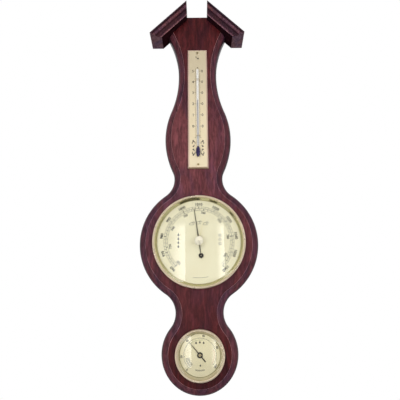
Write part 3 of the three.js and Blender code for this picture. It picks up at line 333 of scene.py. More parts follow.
    def turn_by(self, degrees: float) -> "Form":
        """Turns all the corners clockwise about the sub-assembly's axis.

        Args:
            degrees: how far.

        Returns:
            The form itself.
        """
        turned = [swing(x, z, degrees) for x, _, z in self.points]
        self.points = [(x, d, z) for (x, z), (_, d, _) in zip(turned, self.points)]
        return self

    def build(self, name: str, smooth: float = 35.0) -> Piece:
        """Makes the object.

        Args:
            name: the piece's name.
            smooth: the angle in degrees under which two faces shade as one surface.

        Returns:
            The object, at the origin, with its place in its mesh.
        """
        mesh = bpy.data.meshes.new(name)
        cx, cz = self.centre
        mesh.from_pydata([Vector((cx + x, -d, cz + z)) * MM for x, d, z in self.points], [], self.faces)
        mesh.validate()
        piece = bpy.data.objects.new(name, mesh)
        bpy.context.scene.collection.objects.link(piece)
        clean(piece, smooth)
        return piece


def shade(piece: Piece, smooth: float) -> None:
    """Shades two faces as one surface where they meet under an angle in degrees."""
    piece.data.shade_smooth()
    piece.data.set_sharp_from_angle(angle=math.radians(smooth))


def clean(piece: Piece, smooth: float) -> None:
    """Merges doubled corners, turns the faces outwards and smooths the shading below an angle.

    Args:
        piece: the piece.
        smooth: the angle in degrees.
    """
    work = bmesh.new()
    work.from_mesh(piece.data)
    bmesh.ops.remove_doubles(work, verts=work.verts, dist=WELD)
    bmesh.ops.recalc_face_normals(work, faces=work.faces)
    work.to_mesh(piece.data)
    work.free()
    shade(piece, smooth)


def carve(piece: Piece, tools: Sequence[Piece], smooth: float = 35.0) -> None:
    """Cuts tools out of a piece and removes them.

    Args:
        piece: the piece.
        tools: what is cut out.
        smooth: the angle in degrees below which its shading is smooth.
    """
    for tool in tools:
        cut = piece.modifiers.new("cut", "BOOLEAN")
        cut.operation, cut.solver, cut.object = "DIFFERENCE", "EXACT", tool
    shown = piece.evaluated_get(bpy.context.evaluated_depsgraph_get())
    mesh = bpy.data.meshes.new_from_object(shown)
    piece.modifiers.clear()
    piece.data = mesh
    for tool in tools:
        bpy.data.objects.remove(tool)
    shade(piece, smooth)


def soften(piece: Piece, width: float, angle: float) -> None:
    """Rounds the sharp edges of a piece.

    Args:
        piece: the piece.
        width: how much is taken off.
        angle: the angle in degrees from which an edge counts.
    """
    bevel = piece.modifiers.new("soft_edges", "BEVEL")
    bevel.width, bevel.segments, bevel.limit_method = width * MM, 2, "ANGLE"
    bevel.angle_limit, bevel.harden_normals = math.radians(angle), True


# Finishes


class Nodes:
    """A node tree in the making."""

    def __init__(self, owner: bpy.types.ID) -> None:
        """Empties the node tree of a material, a lamp or a world.

        Args:
            owner: the material, lamp or world.
        """
        owner.use_nodes = True
        self.tree = owner.node_tree
        self.tree.nodes.clear()

    def add(self, kind: str, **sockets: object) -> bpy.types.Node:
        """Adds a node; a socket's name has _ for each space, and its value is a number or another socket.

        Args:
            kind: Blender's name for the node.
            sockets: its inputs' values.

        Returns:
            The node.
        """
        node = self.tree.nodes.new(kind)
        for name, value in sockets.items():
            self.feed(node.inputs[name.replace("_", " ")], value)
        return node

    def feed(self, socket: Socket, value: object) -> None:
        """Sets or links one socket.

        Args:
            socket: the socket.
            value: its value, or the socket that feeds it.
        """
        if isinstance(value, Socket):
            self.tree.links.new(value, socket)
        elif isinstance(value, tuple) and len(value) == 3 and socket.type == "RGBA":
            socket.default_value = (*value, 1.0)
        else:
            socket.default_value = value

    def ramp(self, share: Socket, low: float, high: float, start: Colour | float,
             end: Colour | float) -> Socket:
        """Blends from a start to an end as a share goes from low to high.

        Args:
            share: what drives the blend.
            low, high: the two ends of the share.
            start, end: two numbers or two colours.

        Returns:
            The blend.
        """
        span = self.add("ShaderNodeMapRange", Value=share, From_Min=low, From_Max=high)
        span.interpolation_type = "SMOOTHSTEP"
        if isinstance(start, tuple):
            return self.mix(span.outputs["Result"], start, end)
        self.feed(span.inputs["To Min"], start)
        self.feed(span.inputs["To Max"], end)
        return span.outputs["Result"]

    def mix(self, share: object, first: object, second: object, how: str = "MIX") -> Socket:
        """Mixes two colours.

        Args:
            share: how much of the second.
            first, second: the colours.
            how: Blender's name for the kind of mix.

        Returns:
            The mixed colour.
        """
        node = self.tree.nodes.new("ShaderNodeMix")
        node.data_type, node.blend_type = "RGBA", how
        return self.join(node, {0: share, 6: first, 7: second}, 2)

    def blend(self, share: object, first: object, second: object) -> Socket:
        """Mixes two numbers."""
        return self.join(self.tree.nodes.new("ShaderNodeMix"), {0: share, 2: first, 3: second})

    def maths(self, how: str, first: object, second: object) -> Socket:
        """A sum, product or other plain result of two numbers.

        Args:
            how: Blender's name for the operation.
            first, second: the numbers.

        Returns:
            The result.
        """
        node = self.tree.nodes.new("ShaderNodeMath")
        node.operation = how
        return self.join(node, {0: first, 1: second})

    def join(self, node: bpy.types.Node, values: dict[int, object], output: int = 0) -> Socket:
        """Feeds a node's sockets by their numbers, and gives one of its outputs.

        Args:
            node: the node.
            values: a value or another socket for each number of an input.
            output: the number of the output.

        Returns:
            The output.
        """
        for index, value in values.items():
            self.feed(node.inputs[index], value)
        return node.outputs[output]


class Recipe(Nodes):
    """The node tree of one material."""

    def __init__(self, name: str) -> None:
        """Starts an empty material.

        Args:
            name: the material's name.
        """
        self.material = bpy.data.materials.new(name)
        super().__init__(self.material)
        self.output = self.add("ShaderNodeOutputMaterial")
        self.place = self.add("ShaderNodeTexCoord").outputs["Object"]

    def noise(self, waves: Point | float, detail: float = 4.0, rough: float = 0.5, warp: float = 0.0,
              tilt: float = 0.0) -> Socket:
        """A noise.

        Args:
            waves: how many waves a metre holds along x, y and z, or every way.
            detail, rough, warp: its finer octaves, their strength and its distortion.
            tilt: degrees that it is turned by about y.

        Returns:
            Its value.
        """
        stretch = (waves, waves, waves) if isinstance(waves, float) else waves
        place = self.place
        if tilt:
            turn = (0.0, math.radians(tilt), 0.0)
            place = self.add("ShaderNodeMapping", Vector=place, Rotation=turn).outputs["Vector"]
        mapping = self.add("ShaderNodeMapping", Vector=place, Scale=stretch)
        node = self.add("ShaderNodeTexNoise", Vector=mapping.outputs["Vector"], Scale=1.0, Detail=detail,
                        Roughness=rough, Distortion=warp)
        return node.outputs["Fac"]

    def height(self) -> Socket:
        """The height of a place over the nail, in metres."""
        return self.add("ShaderNodeSeparateXYZ", Vector=self.place).outputs["Z"]

    def bump(self, height: Socket, depth: float) -> Socket:
        """A surface that rises with a height, by up to a depth in millimetres."""
        node = self.add("ShaderNodeBump", Height=height, Distance=depth * MM, Strength=1.0)
        return node.outputs["Normal"]

    def shaded(self, colour: object, red: object, rest: object) -> Socket:
        """A colour made lighter or darker: its red by one share, and its green and blue by another."""
        shares = self.add("ShaderNodeCombineColor", Red=red, Green=rest, Blue=rest)
        return self.mix(1.0, colour, shares.outputs[0], "MULTIPLY")

    def surface(self, **sockets: object) -> Material:
        """Ends the recipe with one principled surface.

        Args:
            sockets: the surface's inputs.

        Returns:
            The material.
        """
        shader = self.add("ShaderNodeBsdfPrincipled", **sockets)
        self.feed(self.output.inputs["Surface"], shader.outputs["BSDF"])
        return self.material


@dataclass(frozen=True)
class Wood:
    """Stained and lacquered mahogany, with a painted sheen by height where a peak is given.

    Attributes:
        name: the material's name.
        deep, warm, pore: the stain's dark and light colours and the colour of its pores.
        mauve: the colour of its cooler patches.
        tilt: the grain's lean from upright, in degrees.
        thin: height in metres where a painted sheen lightens the stain most, or nothing for no painted
            sheen.
        gloss: how strongly its lacquer reflects.
        foot, head: two heights below and above the painted sheen's peak, and how light the painted sheen
            leaves the stain at each.
    """

    name: str
    deep: Colour = (0.068, 0.012, 0.016)
    warm: Colour = (0.158, 0.037, 0.041)
    pore: Colour = (0.020, 0.004, 0.007)
    mauve: Colour = (0.66, 0.82, 1.18)
    tilt: float = 0.0
    thin: float | None = None
    gloss: float = 0.2
    foot: tuple[float, float, float, float] = (-0.30, -0.02, 0.46, 1.18)
    head: tuple[float, float, float, float] = (0.05, 0.26, 1.18, 0.56)

    def depth_of_stain(self, r: Recipe) -> Socket:
        """Painted sheen by height: how much the stain is lightened, most about the middle of the board and
        least at both ends.

        Args:
            r: the recipe that it goes into.

        Returns:
            The share of light.
        """
        height = r.height()
        fades = [r.ramp(height, self.thin + low, self.thin + high, start, end)
                 for low, high, start, end in (self.foot, self.head)]
        return r.maths("MINIMUM", *fades)

    def build(self) -> Material:
        """Makes the material: flames, streaks, cooler patches, fine pores, a satin lacquer and, where a peak
        is given, a painted sheen by height.

        Returns:
            The material.
        """
        r = Recipe(self.name)
        flames = r.noise((75.0, 75.0, 11.0), 4.0, 0.55, 1.6, self.tilt)
        streaks = r.noise((290.0, 290.0, 62.0), 5.0, 0.62, 0.8, self.tilt)
        patches = r.noise((38.0, 38.0, 12.0), 3.0, 0.5, 1.0, self.tilt)
        pores = r.noise((1700.0, 1700.0, 90.0), 3.0, 0.6, 0.0, self.tilt)
        stain = r.ramp(flames, 0.12, 0.90, self.deep, self.warm)
        cool = r.mix(r.ramp(patches, 0.42, 0.64, 0.0, 0.75), (1.0, 1.0, 1.0), self.mauve)
        stain = r.mix(1.0, stain, cool, "MULTIPLY")
        red = rest = r.ramp(streaks, 0.34, 0.70, 0.68, 1.44)
        # Painted sheen: the stain is lightened about the middle of the board and left deep at both ends.
        if self.thin is not None:
            depth = self.depth_of_stain(r)
            red = r.maths("MULTIPLY", red, depth)
            rest = r.maths("MULTIPLY", rest, r.maths("POWER", depth, 2.0))
        stain = r.shaded(stain, red, rest)
        colour = r.mix(r.ramp(pores, 0.56, 0.72, 0.0, 0.6), stain, self.pore)
        rough = r.ramp(streaks, 0.35, 0.7, 0.42, 0.32)
        normal = r.bump(r.maths("SUBTRACT", r.maths("MULTIPLY", streaks, 0.5), pores), 0.05)
        return r.surface(Base_Color=colour, Roughness=rough, Normal=normal, Specular_IOR_Level=self.gloss)


@dataclass(frozen=True)
class Metal:
    """Bare, brushed or plated metal.

    Attributes:
        name: the material's name.
        colour, stain: its clean and its tarnished colour.
        roughness: its plain roughness.
        metallic: how much of it is metal.
        lines: how many waves of its brushing a metre holds, along x, y and z or every way.
        relief: the depth of the brushing.
        age: painted light, as two heights in metres and how light the metal is made at each, or nothing
            where it is even.
    """

    name: str
    colour: Colour
    stain: Colour
    roughness: float
    metallic: float = 1.0
    lines: Point | float = 900.0
    relief: float = 0.004
    age: tuple[float, float, float, float] | None = None

    def build(self) -> Material:
        """Makes the material: a clouded tarnish, brushed lines, a little handling wear and, where given,
        painted light by height.

        Returns:
            The material.
        """
        r = Recipe(self.name)
        clouds = r.noise(45.0, 3.0)
        brushing = r.noise(self.lines, 5.0, 0.6)
        colour = r.ramp(clouds, 0.35, 0.75, self.colour, self.stain)
        wear_and_painted_light = r.mix(r.ramp(brushing, 0.52, 0.78, 0.0, 0.25), colour, self.stain)
        # Painted light: the colour is made lighter or darker by height.
        if self.age:
            light = r.ramp(r.height(), *self.age)
            wear_and_painted_light = r.shaded(wear_and_painted_light, light, light)
        rough = r.maths("ADD", r.ramp(clouds, 0.3, 0.8, self.roughness * 0.85, self.roughness * 1.2),
                        r.ramp(brushing, 0.3, 0.7, 0.0, 0.05))
        return r.surface(Base_Color=wear_and_painted_light, Roughness=rough, Metallic=self.metallic,
                         Normal=r.bump(brushing, self.relief))


@dataclass(frozen=True)
class Polished(Metal):
    """Metal that is polished until no brushing is left, with broad clouds in its place."""

    lines: Point | float = 60.0
    relief: float = 0.0


@dataclass(frozen=True)
class Paint:
    """Ink, paint or lacquer of one colour, with a fine tooth.

    Attributes:
        name: the material's name.
        colour, faded: its full colour, and its colour where it is laid thinly.
        roughness: its roughness.
        coat: the weight of a clear coat.
        gloss: how strongly it reflects.
    """

    name: str
    colour: Colour
    faded: Colour
    roughness: float = 0.5
    coat: float = 0.0
    gloss: float = 0.5

    def build(self) -> Material:
        """Makes the material: uneven cover over a fine tooth.

        Returns:
            The material.
        """
        r = Recipe(self.name)
        cover = r.noise(1400.0, 3.0)
        colour = r.ramp(cover, 0.4, 0.75, self.colour, self.faded)
        rough = r.ramp(cover, 0.3, 0.8, self.roughness * 0.85, min(1.0, self.roughness * 1.2))
        return r.surface(Base_Color=colour, Roughness=rough, Normal=r.bump(cover, 0.003),
                         Coat_Weight=self.coat, Specular_IOR_Level=self.gloss)


@dataclass(frozen=True)
class Glass:
    """Clear glass that lets the lamps' light through.

    Attributes:
        name: the material's name.
        tint: its colour.
        index: its refractive index, the same both ways because the light goes straight through.
        roughness: its roughness.
    """

    name: str = "clear_glass_pane"
    tint: Colour = (0.985, 0.99, 0.98)
    index: float = 1.45
    roughness: float = 0.0

    def build(self) -> Material:
        """Makes the material: reflections by angle over a clear body, with faint ripples and dust.

        Returns:
            The material.
        """
        r = Recipe(self.name)
        ripples = r.noise(14.0, 1.0)
        dust = r.noise(700.0, 6.0, 0.7)
        normal = r.bump(ripples, 0.008)
        shine = r.add("ShaderNodeBsdfGlossy", Color=(1.0, 1.0, 1.0), Normal=normal,
                      Roughness=r.ramp(dust, 0.5, 0.8, self.roughness + 0.02, self.roughness + 0.06))
        clear = r.add("ShaderNodeBsdfTransparent", Color=self.tint)
        leaving = r.add("ShaderNodeNewGeometry").outputs["Backfacing"]
        share = r.add("ShaderNodeFresnel", IOR=r.blend(leaving, self.index, 1 / self.index), Normal=normal)
        body = r.add("ShaderNodeMixShader", Fac=share.outputs[0])
        r.feed(r.output.inputs["Surface"], r.join(body, {1: clear.outputs[0], 2: shine.outputs[0]}))
        return r.material


# The dark and the light stain of both slopes of the roof, made lighter than the board's as a painted
# highlight on the ovolo.
SLOPE_STAIN_AND_HIGHLIGHT: tuple[Colour, Colour] = ((0.075, 0.024, 0.030), (0.18, 0.062, 0.070))


class Finish(Enum):
    """Every finish of the weather station."""

    # The board's stain carries a painted sheen that peaks 0.235 m below the nail.
    WOOD = Wood("mahogany_board", thin=-0.235)
    # Painted shade: darker stains for the sides, the round and the groove of the edge, where shade falls.
    EDGE = Wood("mahogany_side_painted_shade", (0.024, 0.009, 0.013), (0.054, 0.020, 0.028))
    ROUND = Wood("mahogany_round_painted_shade", (0.056, 0.014, 0.020), (0.113, 0.031, 0.039))
    GROOVE = Wood("mahogany_groove_painted_shade", (0.055, 0.016, 0.021), (0.108, 0.032, 0.041))
    END = Wood("mahogany_end_grain", (0.120, 0.064, 0.074), (0.165, 0.092, 0.102), gloss=0.0)
    # Painted shade in the roof's cove, painted shadow under the roof, and painted highlights on the roof's
    # bead and the board's eased edge.
    COVE = Wood("mahogany_cove_painted_shade", (0.028, 0.008, 0.012), (0.058, 0.016, 0.022))
    UNDER = Wood("mahogany_underside_painted_shadow", (0.010, 0.003, 0.004), (0.024, 0.006, 0.008), gloss=0.0)
    WORN = Wood("mahogany_bead_painted_highlight", (0.17, 0.065, 0.068), (0.27, 0.115, 0.118), (0.10, 0.035, 0.04))
    CREST = Wood("mahogany_eased_edge_painted_highlight", (0.24, 0.095, 0.100), (0.37, 0.162, 0.170), (0.14, 0.05, 0.055))
    WOOD_LEFT = Wood("mahogany_left_slope", *SLOPE_STAIN_AND_HIGHLIGHT, tilt=45.0)
    WOOD_RIGHT = Wood("mahogany_right_slope", *SLOPE_STAIN_AND_HIGHLIGHT, tilt=-45.0)
    BRASS = Polished("brass_polished", (1.0, 0.84, 0.62), (0.97, 0.80, 0.56), 0.28, 0.85)
    BAND = Polished("brass_lacquered_band", (0.84, 0.76, 0.42), (0.78, 0.70, 0.37), 0.06, 1.0)
    SMALL_BAND = Polished("brass_small_band", (0.92, 0.79, 0.50), (0.86, 0.73, 0.45), 0.38, 0.8)
    # Painted shade where the sloping band meets the dial.
    OLIVE = Polished("brass_band_foot_painted_shade", (0.40, 0.34, 0.15), (0.34, 0.29, 0.12), 0.5, 0.6)
    KNOB = Polished("brass_turned_knob", (1.0, 0.94, 0.74), (0.97, 0.90, 0.69), 0.22, 0.45)
    SET_HAND = Metal("brass_matt", (0.84, 0.76, 0.50), (0.78, 0.69, 0.44), 0.45, 0.2)
    SATIN = Metal("brass_satin", (0.72, 0.58, 0.32), (0.55, 0.43, 0.22), 0.34)
    # Painted light: the plate is lighter towards its foot and darker towards its top.
    PLATE = Metal("champagne_plate", (0.77, 0.66, 0.45), (0.72, 0.61, 0.41), 0.42, 0.3,
                  (1600.0, 1600.0, 60.0), age=(-0.155, -0.05, 1.14, 0.88))
    # Painted shade: the plate's lower rim is darker brown.
    BRONZE = Metal("champagne_lower_rim_painted_shade", (0.40, 0.29, 0.18), (0.34, 0.24, 0.15), 0.38, 0.35)
    # Painted reflection: the plate's rolled rim is tinted pink for the wood that it mirrors.
    ROSE = Metal("champagne_rim_painted_reflection", (0.70, 0.51, 0.40), (0.62, 0.44, 0.34), 0.38, 0.35)
    # Painted light: the dials are made lighter or darker by height.
    DIAL = Metal("champagne_dial", (0.91, 0.85, 0.63), (0.88, 0.81, 0.59), 0.48, 0.15, 1300.0,
                 age=(-0.385, -0.285, 1.0, 0.96))
    SMALL_DIAL = Metal("champagne_small_dial", (0.80, 0.72, 0.49), (0.77, 0.69, 0.46), 0.48, 0.15, 1300.0,
                       0.001, (-0.503, -0.468, 0.9, 1.04))
    STEEL = Metal("zinc_plated_steel", (0.62, 0.64, 0.66), (0.50, 0.51, 0.50), 0.32)
    SPRING = Metal("blued_spring_steel", (0.20, 0.23, 0.30), (0.26, 0.22, 0.22), 0.28)
    NICKEL = Metal("nickel_silver", (0.66, 0.62, 0.54), (0.54, 0.50, 0.42), 0.3)
    TIN = Metal("pressed_case_metal", (0.58, 0.58, 0.57), (0.47, 0.46, 0.44), 0.38)
    INK = Paint("printed_black", (0.016, 0.014, 0.012), (0.05, 0.045, 0.04), 0.6)
    GREEN = Paint("printed_green", (0.45, 0.48, 0.26), (0.50, 0.52, 0.30), 0.6)
    RED = Paint("printed_red", (0.58, 0.34, 0.22), (0.62, 0.38, 0.26), 0.6)
    HAND = Paint("black_hand_lacquer", (0.022, 0.016, 0.010), (0.04, 0.03, 0.02), 0.32, 0.3)
    SPIRIT = Paint("violet_spirit", (0.026, 0.016, 0.070), (0.050, 0.034, 0.120), 0.3, 0.0, 0.3)
    ENAMEL = Paint("white_enamel_back", (0.80, 0.77, 0.70), (0.72, 0.69, 0.64), 0.3, 0.4)
    GLASS = Glass()
    TUBE = Glass("clear_glass_tube", (0.97, 0.975, 0.98), 1.22, 0.01)

    def material(self) -> Material:
        """The finish's material, made once."""
        return bpy.data.materials.get(self.value.name) or self.value.build()


def dress(piece: Piece, body: str, slot: str, finish: Finish, *nodes: str) -> Piece:
    """Gives a piece its finish and its place in the frame.

    Args:
        piece: the piece.
        body: the body that it moves with.
        slot: the record's material slot that its finish belongs to; not used.
        finish: its finish.
        nodes: the nodes that it stands for.

    Returns:
        The piece.
    """
    piece.data.materials.clear()
    piece.data.materials.append(finish.material())
    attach(piece, body)
    if nodes:
        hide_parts(*nodes)
    log.info("%s: %d faces on %s", piece.name, len(piece.data.polygons), body)
    return piece


def tint(piece: Piece, finish: Finish, centre: Pair,
         where: Callable[[float, float, float, Vector], bool]) -> None:
    """Gives some faces of a dressed piece another finish.

    Args:
        piece: the piece.
        finish: the other finish.
        centre: the x and height in the frame that places are counted from.
        where: says whether a face has it, from its middle's x, depth and height and from its direction.
    """
    piece.data.materials.append(finish.material())
    index = len(piece.data.materials) - 1
    for face in piece.data.polygons:
        x, y, z = face.center / MM
        if where(x - centre[0], -y, z - centre[1], face.normal):
            face.material_index = index


# Case


@dataclass
class Board:
    """The moulded board.

    Attributes:
        main, lower: radius and height of the two round parts, from the barometer's centre.
        waist, shoulder: radii of the two hollows beside the main round part.
        bulge, bulge_half, bulge_height: radius, half width and height of the swell.
        neck, neck_half: radius and half width of the neck.
        thickness, side, round: board thickness, height of the plain side and radius of the edge's round.
        step: width of the flat between the round and the raised face.
        roof_line: where the shoulders' line meets the middle, over the barometer's centre.
        tab, tab_height: half width and height of the flat top between the roof mouldings.
        ease: radius of the eased edge of the raised face.
        fineness: angle in radians of a step along an arc that has a radius of 80 mm.
        bores: radii of the bores for the barometer and the hygrometer.
        recess, margin: depth of the hanger plate's recess, and its room round the plate.
        pocket: radii of the foot and the top of the pocket for the nail's head.
        pocket_length, pocket_depth: the length between the two, and the pocket's depth behind the recess.
    """

    main: Pair = (83.5, -2.0)
    lower: Pair = (51.0, -148.0)
    waist: float = 30.0
    shoulder: float = 30.0
    bulge: float = 118.0
    bulge_half: float = 49.0
    bulge_height: float = 153.5
    neck: float = 157.0
    neck_half: float = 29.2
    thickness: float = 18.0
    side: float = 9.0
    round: float = 7.5
    step: float = 1.5
    roof_line: float = 368.68
    tab: float = 15.95
    tab_height: float = 4.8
    ease: float = 0.7
    fineness: float = 0.035
    bores: Pair = (61.1, 30.2)
    recess: float = 2.8
    margin: float = 0.3
    pocket: Pair = (6.5, 4.4)
    pocket_length: float = 9.0
    pocket_depth: float = 6.5

    @staticmethod
    def between(first: Disc, second: Disc, radius: float) -> Disc:
        """The circle of a radius that touches two circles from outside, on their right-hand side.

        Args:
            first, second: the two circles, from the foot up.
            radius: its radius.

        Returns:
            Its centre and radius.
        """
        a, b = first[1] + radius, second[1] + radius
        line = second[0] - first[0]
        span = line.length
        along = (a * a - b * b + span * span) / (2 * span)
        line /= span
        side = Vector((line.y, -line.x)) * math.sqrt(a * a - along * along)
        return first[0] + line * along + side, radius

    def circles(self) -> list[Disc]:
        """Works out the arcs of the right-hand side.

        Returns:
            Their centres and radii, from the foot to the roof.
        """
        lower = (Vector((0, self.lower[1])), self.lower[0])
        main = (Vector((0, self.main[1])), self.main[0])
        bulge = (Vector((self.bulge_half - self.bulge, self.bulge_height)), self.bulge)
        neck_x = self.neck_half + self.neck
        rise = math.sqrt((self.bulge + self.neck) ** 2 - (neck_x - bulge[0].x) ** 2)
        neck = (Vector((neck_x, self.bulge_height + rise)), self.neck)
        waist = self.between(lower, main, self.waist)
        shoulder = self.between(main, bulge, self.shoulder)
        return [lower, waist, main, shoulder, bulge, neck]

    def roof_angle(self, centre: Vector, radius: float) -> float:
        """The angle at which a circle meets the right shoulder."""
        return math.pi / 4 + math.acos((self.roof_line - centre.x - centre.y) / (radius * math.sqrt(2)))

    def outline(self, inset: float) -> list[Pair]:
        """The board's outline, drawn in by an inset where its edge is moulded.

        Args:
            inset: the inset.

        Returns:
            The closed outline as (x, height).
        """

        def bearing(start: Vector, end: Vector) -> float:
            """The angle from a place to another, from nothing to a full turn."""
            way = end - start
            return math.atan2(way.y, way.x) % (2 * math.pi)

        circles = self.circles()
        right: list[Pair] = []
        for i, (centre, radius) in enumerate(circles):
            hollow = i % 2 == 1
            r = radius + inset if hollow else radius - inset
            start = -QUARTER
            if i:
                start = bearing(centre, circles[i - 1][0]) - (0 if hollow else 2 * math.pi)
            if i + 1 < len(circles):
                end = plain_end = bearing(centre, circles[i + 1][0])
            else:
                end, plain_end = self.roof_angle(centre, r), self.roof_angle(centre, radius)
            steps = max(6, round(abs(plain_end - start) * math.sqrt(radius / 80) / self.fineness))
            right += arc(centre.x, centre.y, r, r, start, end, steps)[1 if right else 0:]
        right.append((self.tab, self.roof_line - self.tab))
        right.append((self.tab, self.roof_line - self.tab + self.tab_height))
        return right + [(-x, z) for x, z in reversed(right[1:])]

    def edge(self) -> list[Pair]:
        """Draws the edge moulding: side, quarter round, fillet and eased face.

        Returns:
            Its section as (inset, depth).
        """
        top = self.side + self.round
        face = self.round + self.step
        quarter = arc(self.round, self.side, -self.round, self.round, 0, QUARTER, 12)
        ease = self.ease
        rise = arc(face + ease, self.thickness - ease, -ease, ease, 0, QUARTER, 5)
        return [(0.5, 0.0), (0.15, 0.15), (0.0, 0.5), *quarter, (face - 0.25, top), (face, top + 0.2), *rise]

    def is_edge(self, x: float, z: float) -> bool:
        """Whether a place lies outside both bores."""
        around = math.hypot(x, z), math.hypot(x, z - self.lower[1])
        return all(radius > bore + 1 for radius, bore in zip(around, self.bores))

    def tools(self) -> list[Piece]:
        """Makes what is cut out of the board.

        Returns:
            The two bores, the hanger's recess and the nail head's pocket.
        """
        made = []
        front = self.thickness + 1
        for name, radius in zip(("barometer", "hygrometer"), self.bores):
            through = [(AXIS, -1), (radius, -1), (radius, front), (AXIS, front)]
            made.append(Form(Extent.of(f"{name}_bezel").centre).turned(through, 128).build("bore"))
        hanger = Extent.of("hanger_plate")
        recess = rectangle(hanger.left - self.margin, hanger.right + self.margin,
                           hanger.bottom - self.margin, hanger.top + self.margin)
        made.append(Form().prism(recess, -1, self.recess).build("recess"))
        foot, top = self.pocket
        entry = hanger.centre[1] - self.pocket_length / 2
        pocket = arc(0, entry + self.pocket_length, top, top, 0, math.pi, 16)
        pocket += arc(0, entry, foot, foot, math.pi, 2 * math.pi, 20)
        made.append(Form().prism(pocket, 0, self.recess + self.pocket_depth).build("pocket"))
        return made

    def build(self) -> None:
        """Builds the board, cuts it out and paints shade and highlight on its edge by the depth and
        direction of each face.
        """
        centre = Extent.of("barometer_bezel").centre
        levels = [[(x, depth, z) for x, z in self.outline(inset)] for inset, depth in self.edge()]
        board = Form(centre).stack(levels).build("moulded_board")
        carve(board, self.tools())
        dress(board, "case", "wood", Finish.WOOD, "case_board")
        top = self.side + self.round
        steep = self.side + self.round * 0.58
        crest = self.thickness - self.ease - 0.1
        # Painted shade on the side, the round and the groove of the edge, and a painted highlight on the
        # eased edge of the raised face.
        tint(board, Finish.ROUND, centre, lambda x, d, z, way: 0.01 < d < top and abs(way.y) < 0.999)
        tint(board, Finish.EDGE, centre, lambda x, d, z, way: 0.01 < d < steep and abs(way.y) < 0.97)
        tint(board, Finish.GROOVE, centre,
             lambda x, d, z, way: top - 0.16 < d < crest and self.is_edge(x, z))
        tint(board, Finish.CREST, centre, lambda x, d, z, way: crest < d < self.thickness - 0.02)


@dataclass
class Roof:
    """A crown moulding of the open gable.

    Attributes:
        side: the slope that it lies on.
        height: where its underside's line meets the middle, over the barometer's centre.
        thickness, depth: its size square to the slope, and out of the wall.
        ridge, eave: half width of the gap at the top, and half width at the foot.
        fillet, step: height of the top fillet, and how far it stands out.
        ovolo, cove: height and depth of the round under the fillet, and of the hollow under the round.
        bead: how far the bead at the foot stands out.
        ease: how much the fillet's edges are rounded.
    """

    side: Side
    height: float = 369.1
    thickness: float = 12.3
    depth: float = 40.6
    ridge: float = 16.0
    eave: float = 72.0
    fillet: float = 2.0
    step: float = 3.5
    ovolo: Pair = (3.5, 3.0)
    cove: Pair = (4.0, 4.7)
    bead: float = 0.6
    ease: float = 0.35

    def __post_init__(self) -> None:
        """Works out how high each part of the section reaches over the underside."""
        self.ovolo_top = self.thickness - self.fillet
        self.cove_top = self.ovolo_top - self.ovolo[0]
        self.bead_top = self.cove_top - self.cove[0]

    def section(self) -> list[Pair]:
        """Draws the moulding's section.

        Returns:
            The section as (height over its underside, depth).
        """
        ease, bead = self.ease, self.bead_top / 2
        cove_front = self.depth - self.step - self.ovolo[1]
        return [
            (0.0, 0.0),
            (self.thickness, 0.0),
            *arc(self.thickness - ease, self.depth - ease, ease, ease, 0, QUARTER, 4),
            *arc(self.ovolo_top + ease, self.depth - ease, -ease, ease, QUARTER, 0, 4),
            *arc(self.ovolo_top, cove_front, -self.ovolo[0], self.ovolo[1], QUARTER, 0, 12),
            *arc(self.bead_top, cove_front, self.cove[0], -self.cove[1], 0.05, QUARTER, 12),
            *arc(bead, cove_front - self.cove[1], bead, self.bead, 0.1, math.pi, 8),
        ]

    def build(self) -> None:
        """Builds the moulding, which runs from an upright cut at the ridge to a level cut at its foot."""
        centre = Extent.of("barometer_bezel").centre
        side, root = self.side.value, math.sqrt(2)
        end = self.height + self.thickness * root - self.eave
        rows: list[list[Point]] = [[], []]
        for v, depth in self.section():
            for row, u in zip(rows, (v - root * self.ridge, root * (end - self.height) - v)):
                row.append((side * (v - u) / root, depth, self.height + (v + u) / root))
        name = self.side.name
        piece = Form(centre).stack(rows).build(f"gable_moulding_{name.lower()}", 25.0)
        soften(piece, 0.25, 50.0)
        # The slopes' finish is lighter than the board's: a painted highlight on the ovolo.
        dress(piece, "case", "wood", Finish[f"WOOD_{name}"], f"roof_moulding_{name.lower()}")

        def stain(finish: Finish, where: Callable[[float, float, Vector], bool]) -> None:
            """Paints shade and highlight on faces by their height over the underside, their depth and their
            direction.
            """
            tint(piece, finish, centre,
                 lambda x, d, z, way: where((side * x + z - self.height) / root, d, way))

        def is_moulded(way: Vector) -> bool:
            """Whether a face with a direction isn't one of the two cuts."""
            return abs(way.x) < 0.99 and way.z > -0.99

        # Painted shade on the top fillet, on the upright cut at the ridge and in the cove, a painted
        # highlight along the bead and a painted shadow on the underside; the level cut gets its end grain.
        stain(Finish.EDGE, lambda v, d, way: v > self.ovolo_top - 0.2 or abs(way.x) > 0.99)
        stain(Finish.COVE, lambda v, d, way: self.bead_top < v < self.cove_top and is_moulded(way))
        stain(Finish.WORN, lambda v, d, way: 0.1 < v < self.bead_top * 0.35 and d > self.depth - 13
              and is_moulded(way))
        stain(Finish.UNDER, lambda v, d, way: v < 0.1 and abs(way.y) < 0.3)
        stain(Finish.END, lambda v, d, way: way.z < -0.99)


# Thermometer


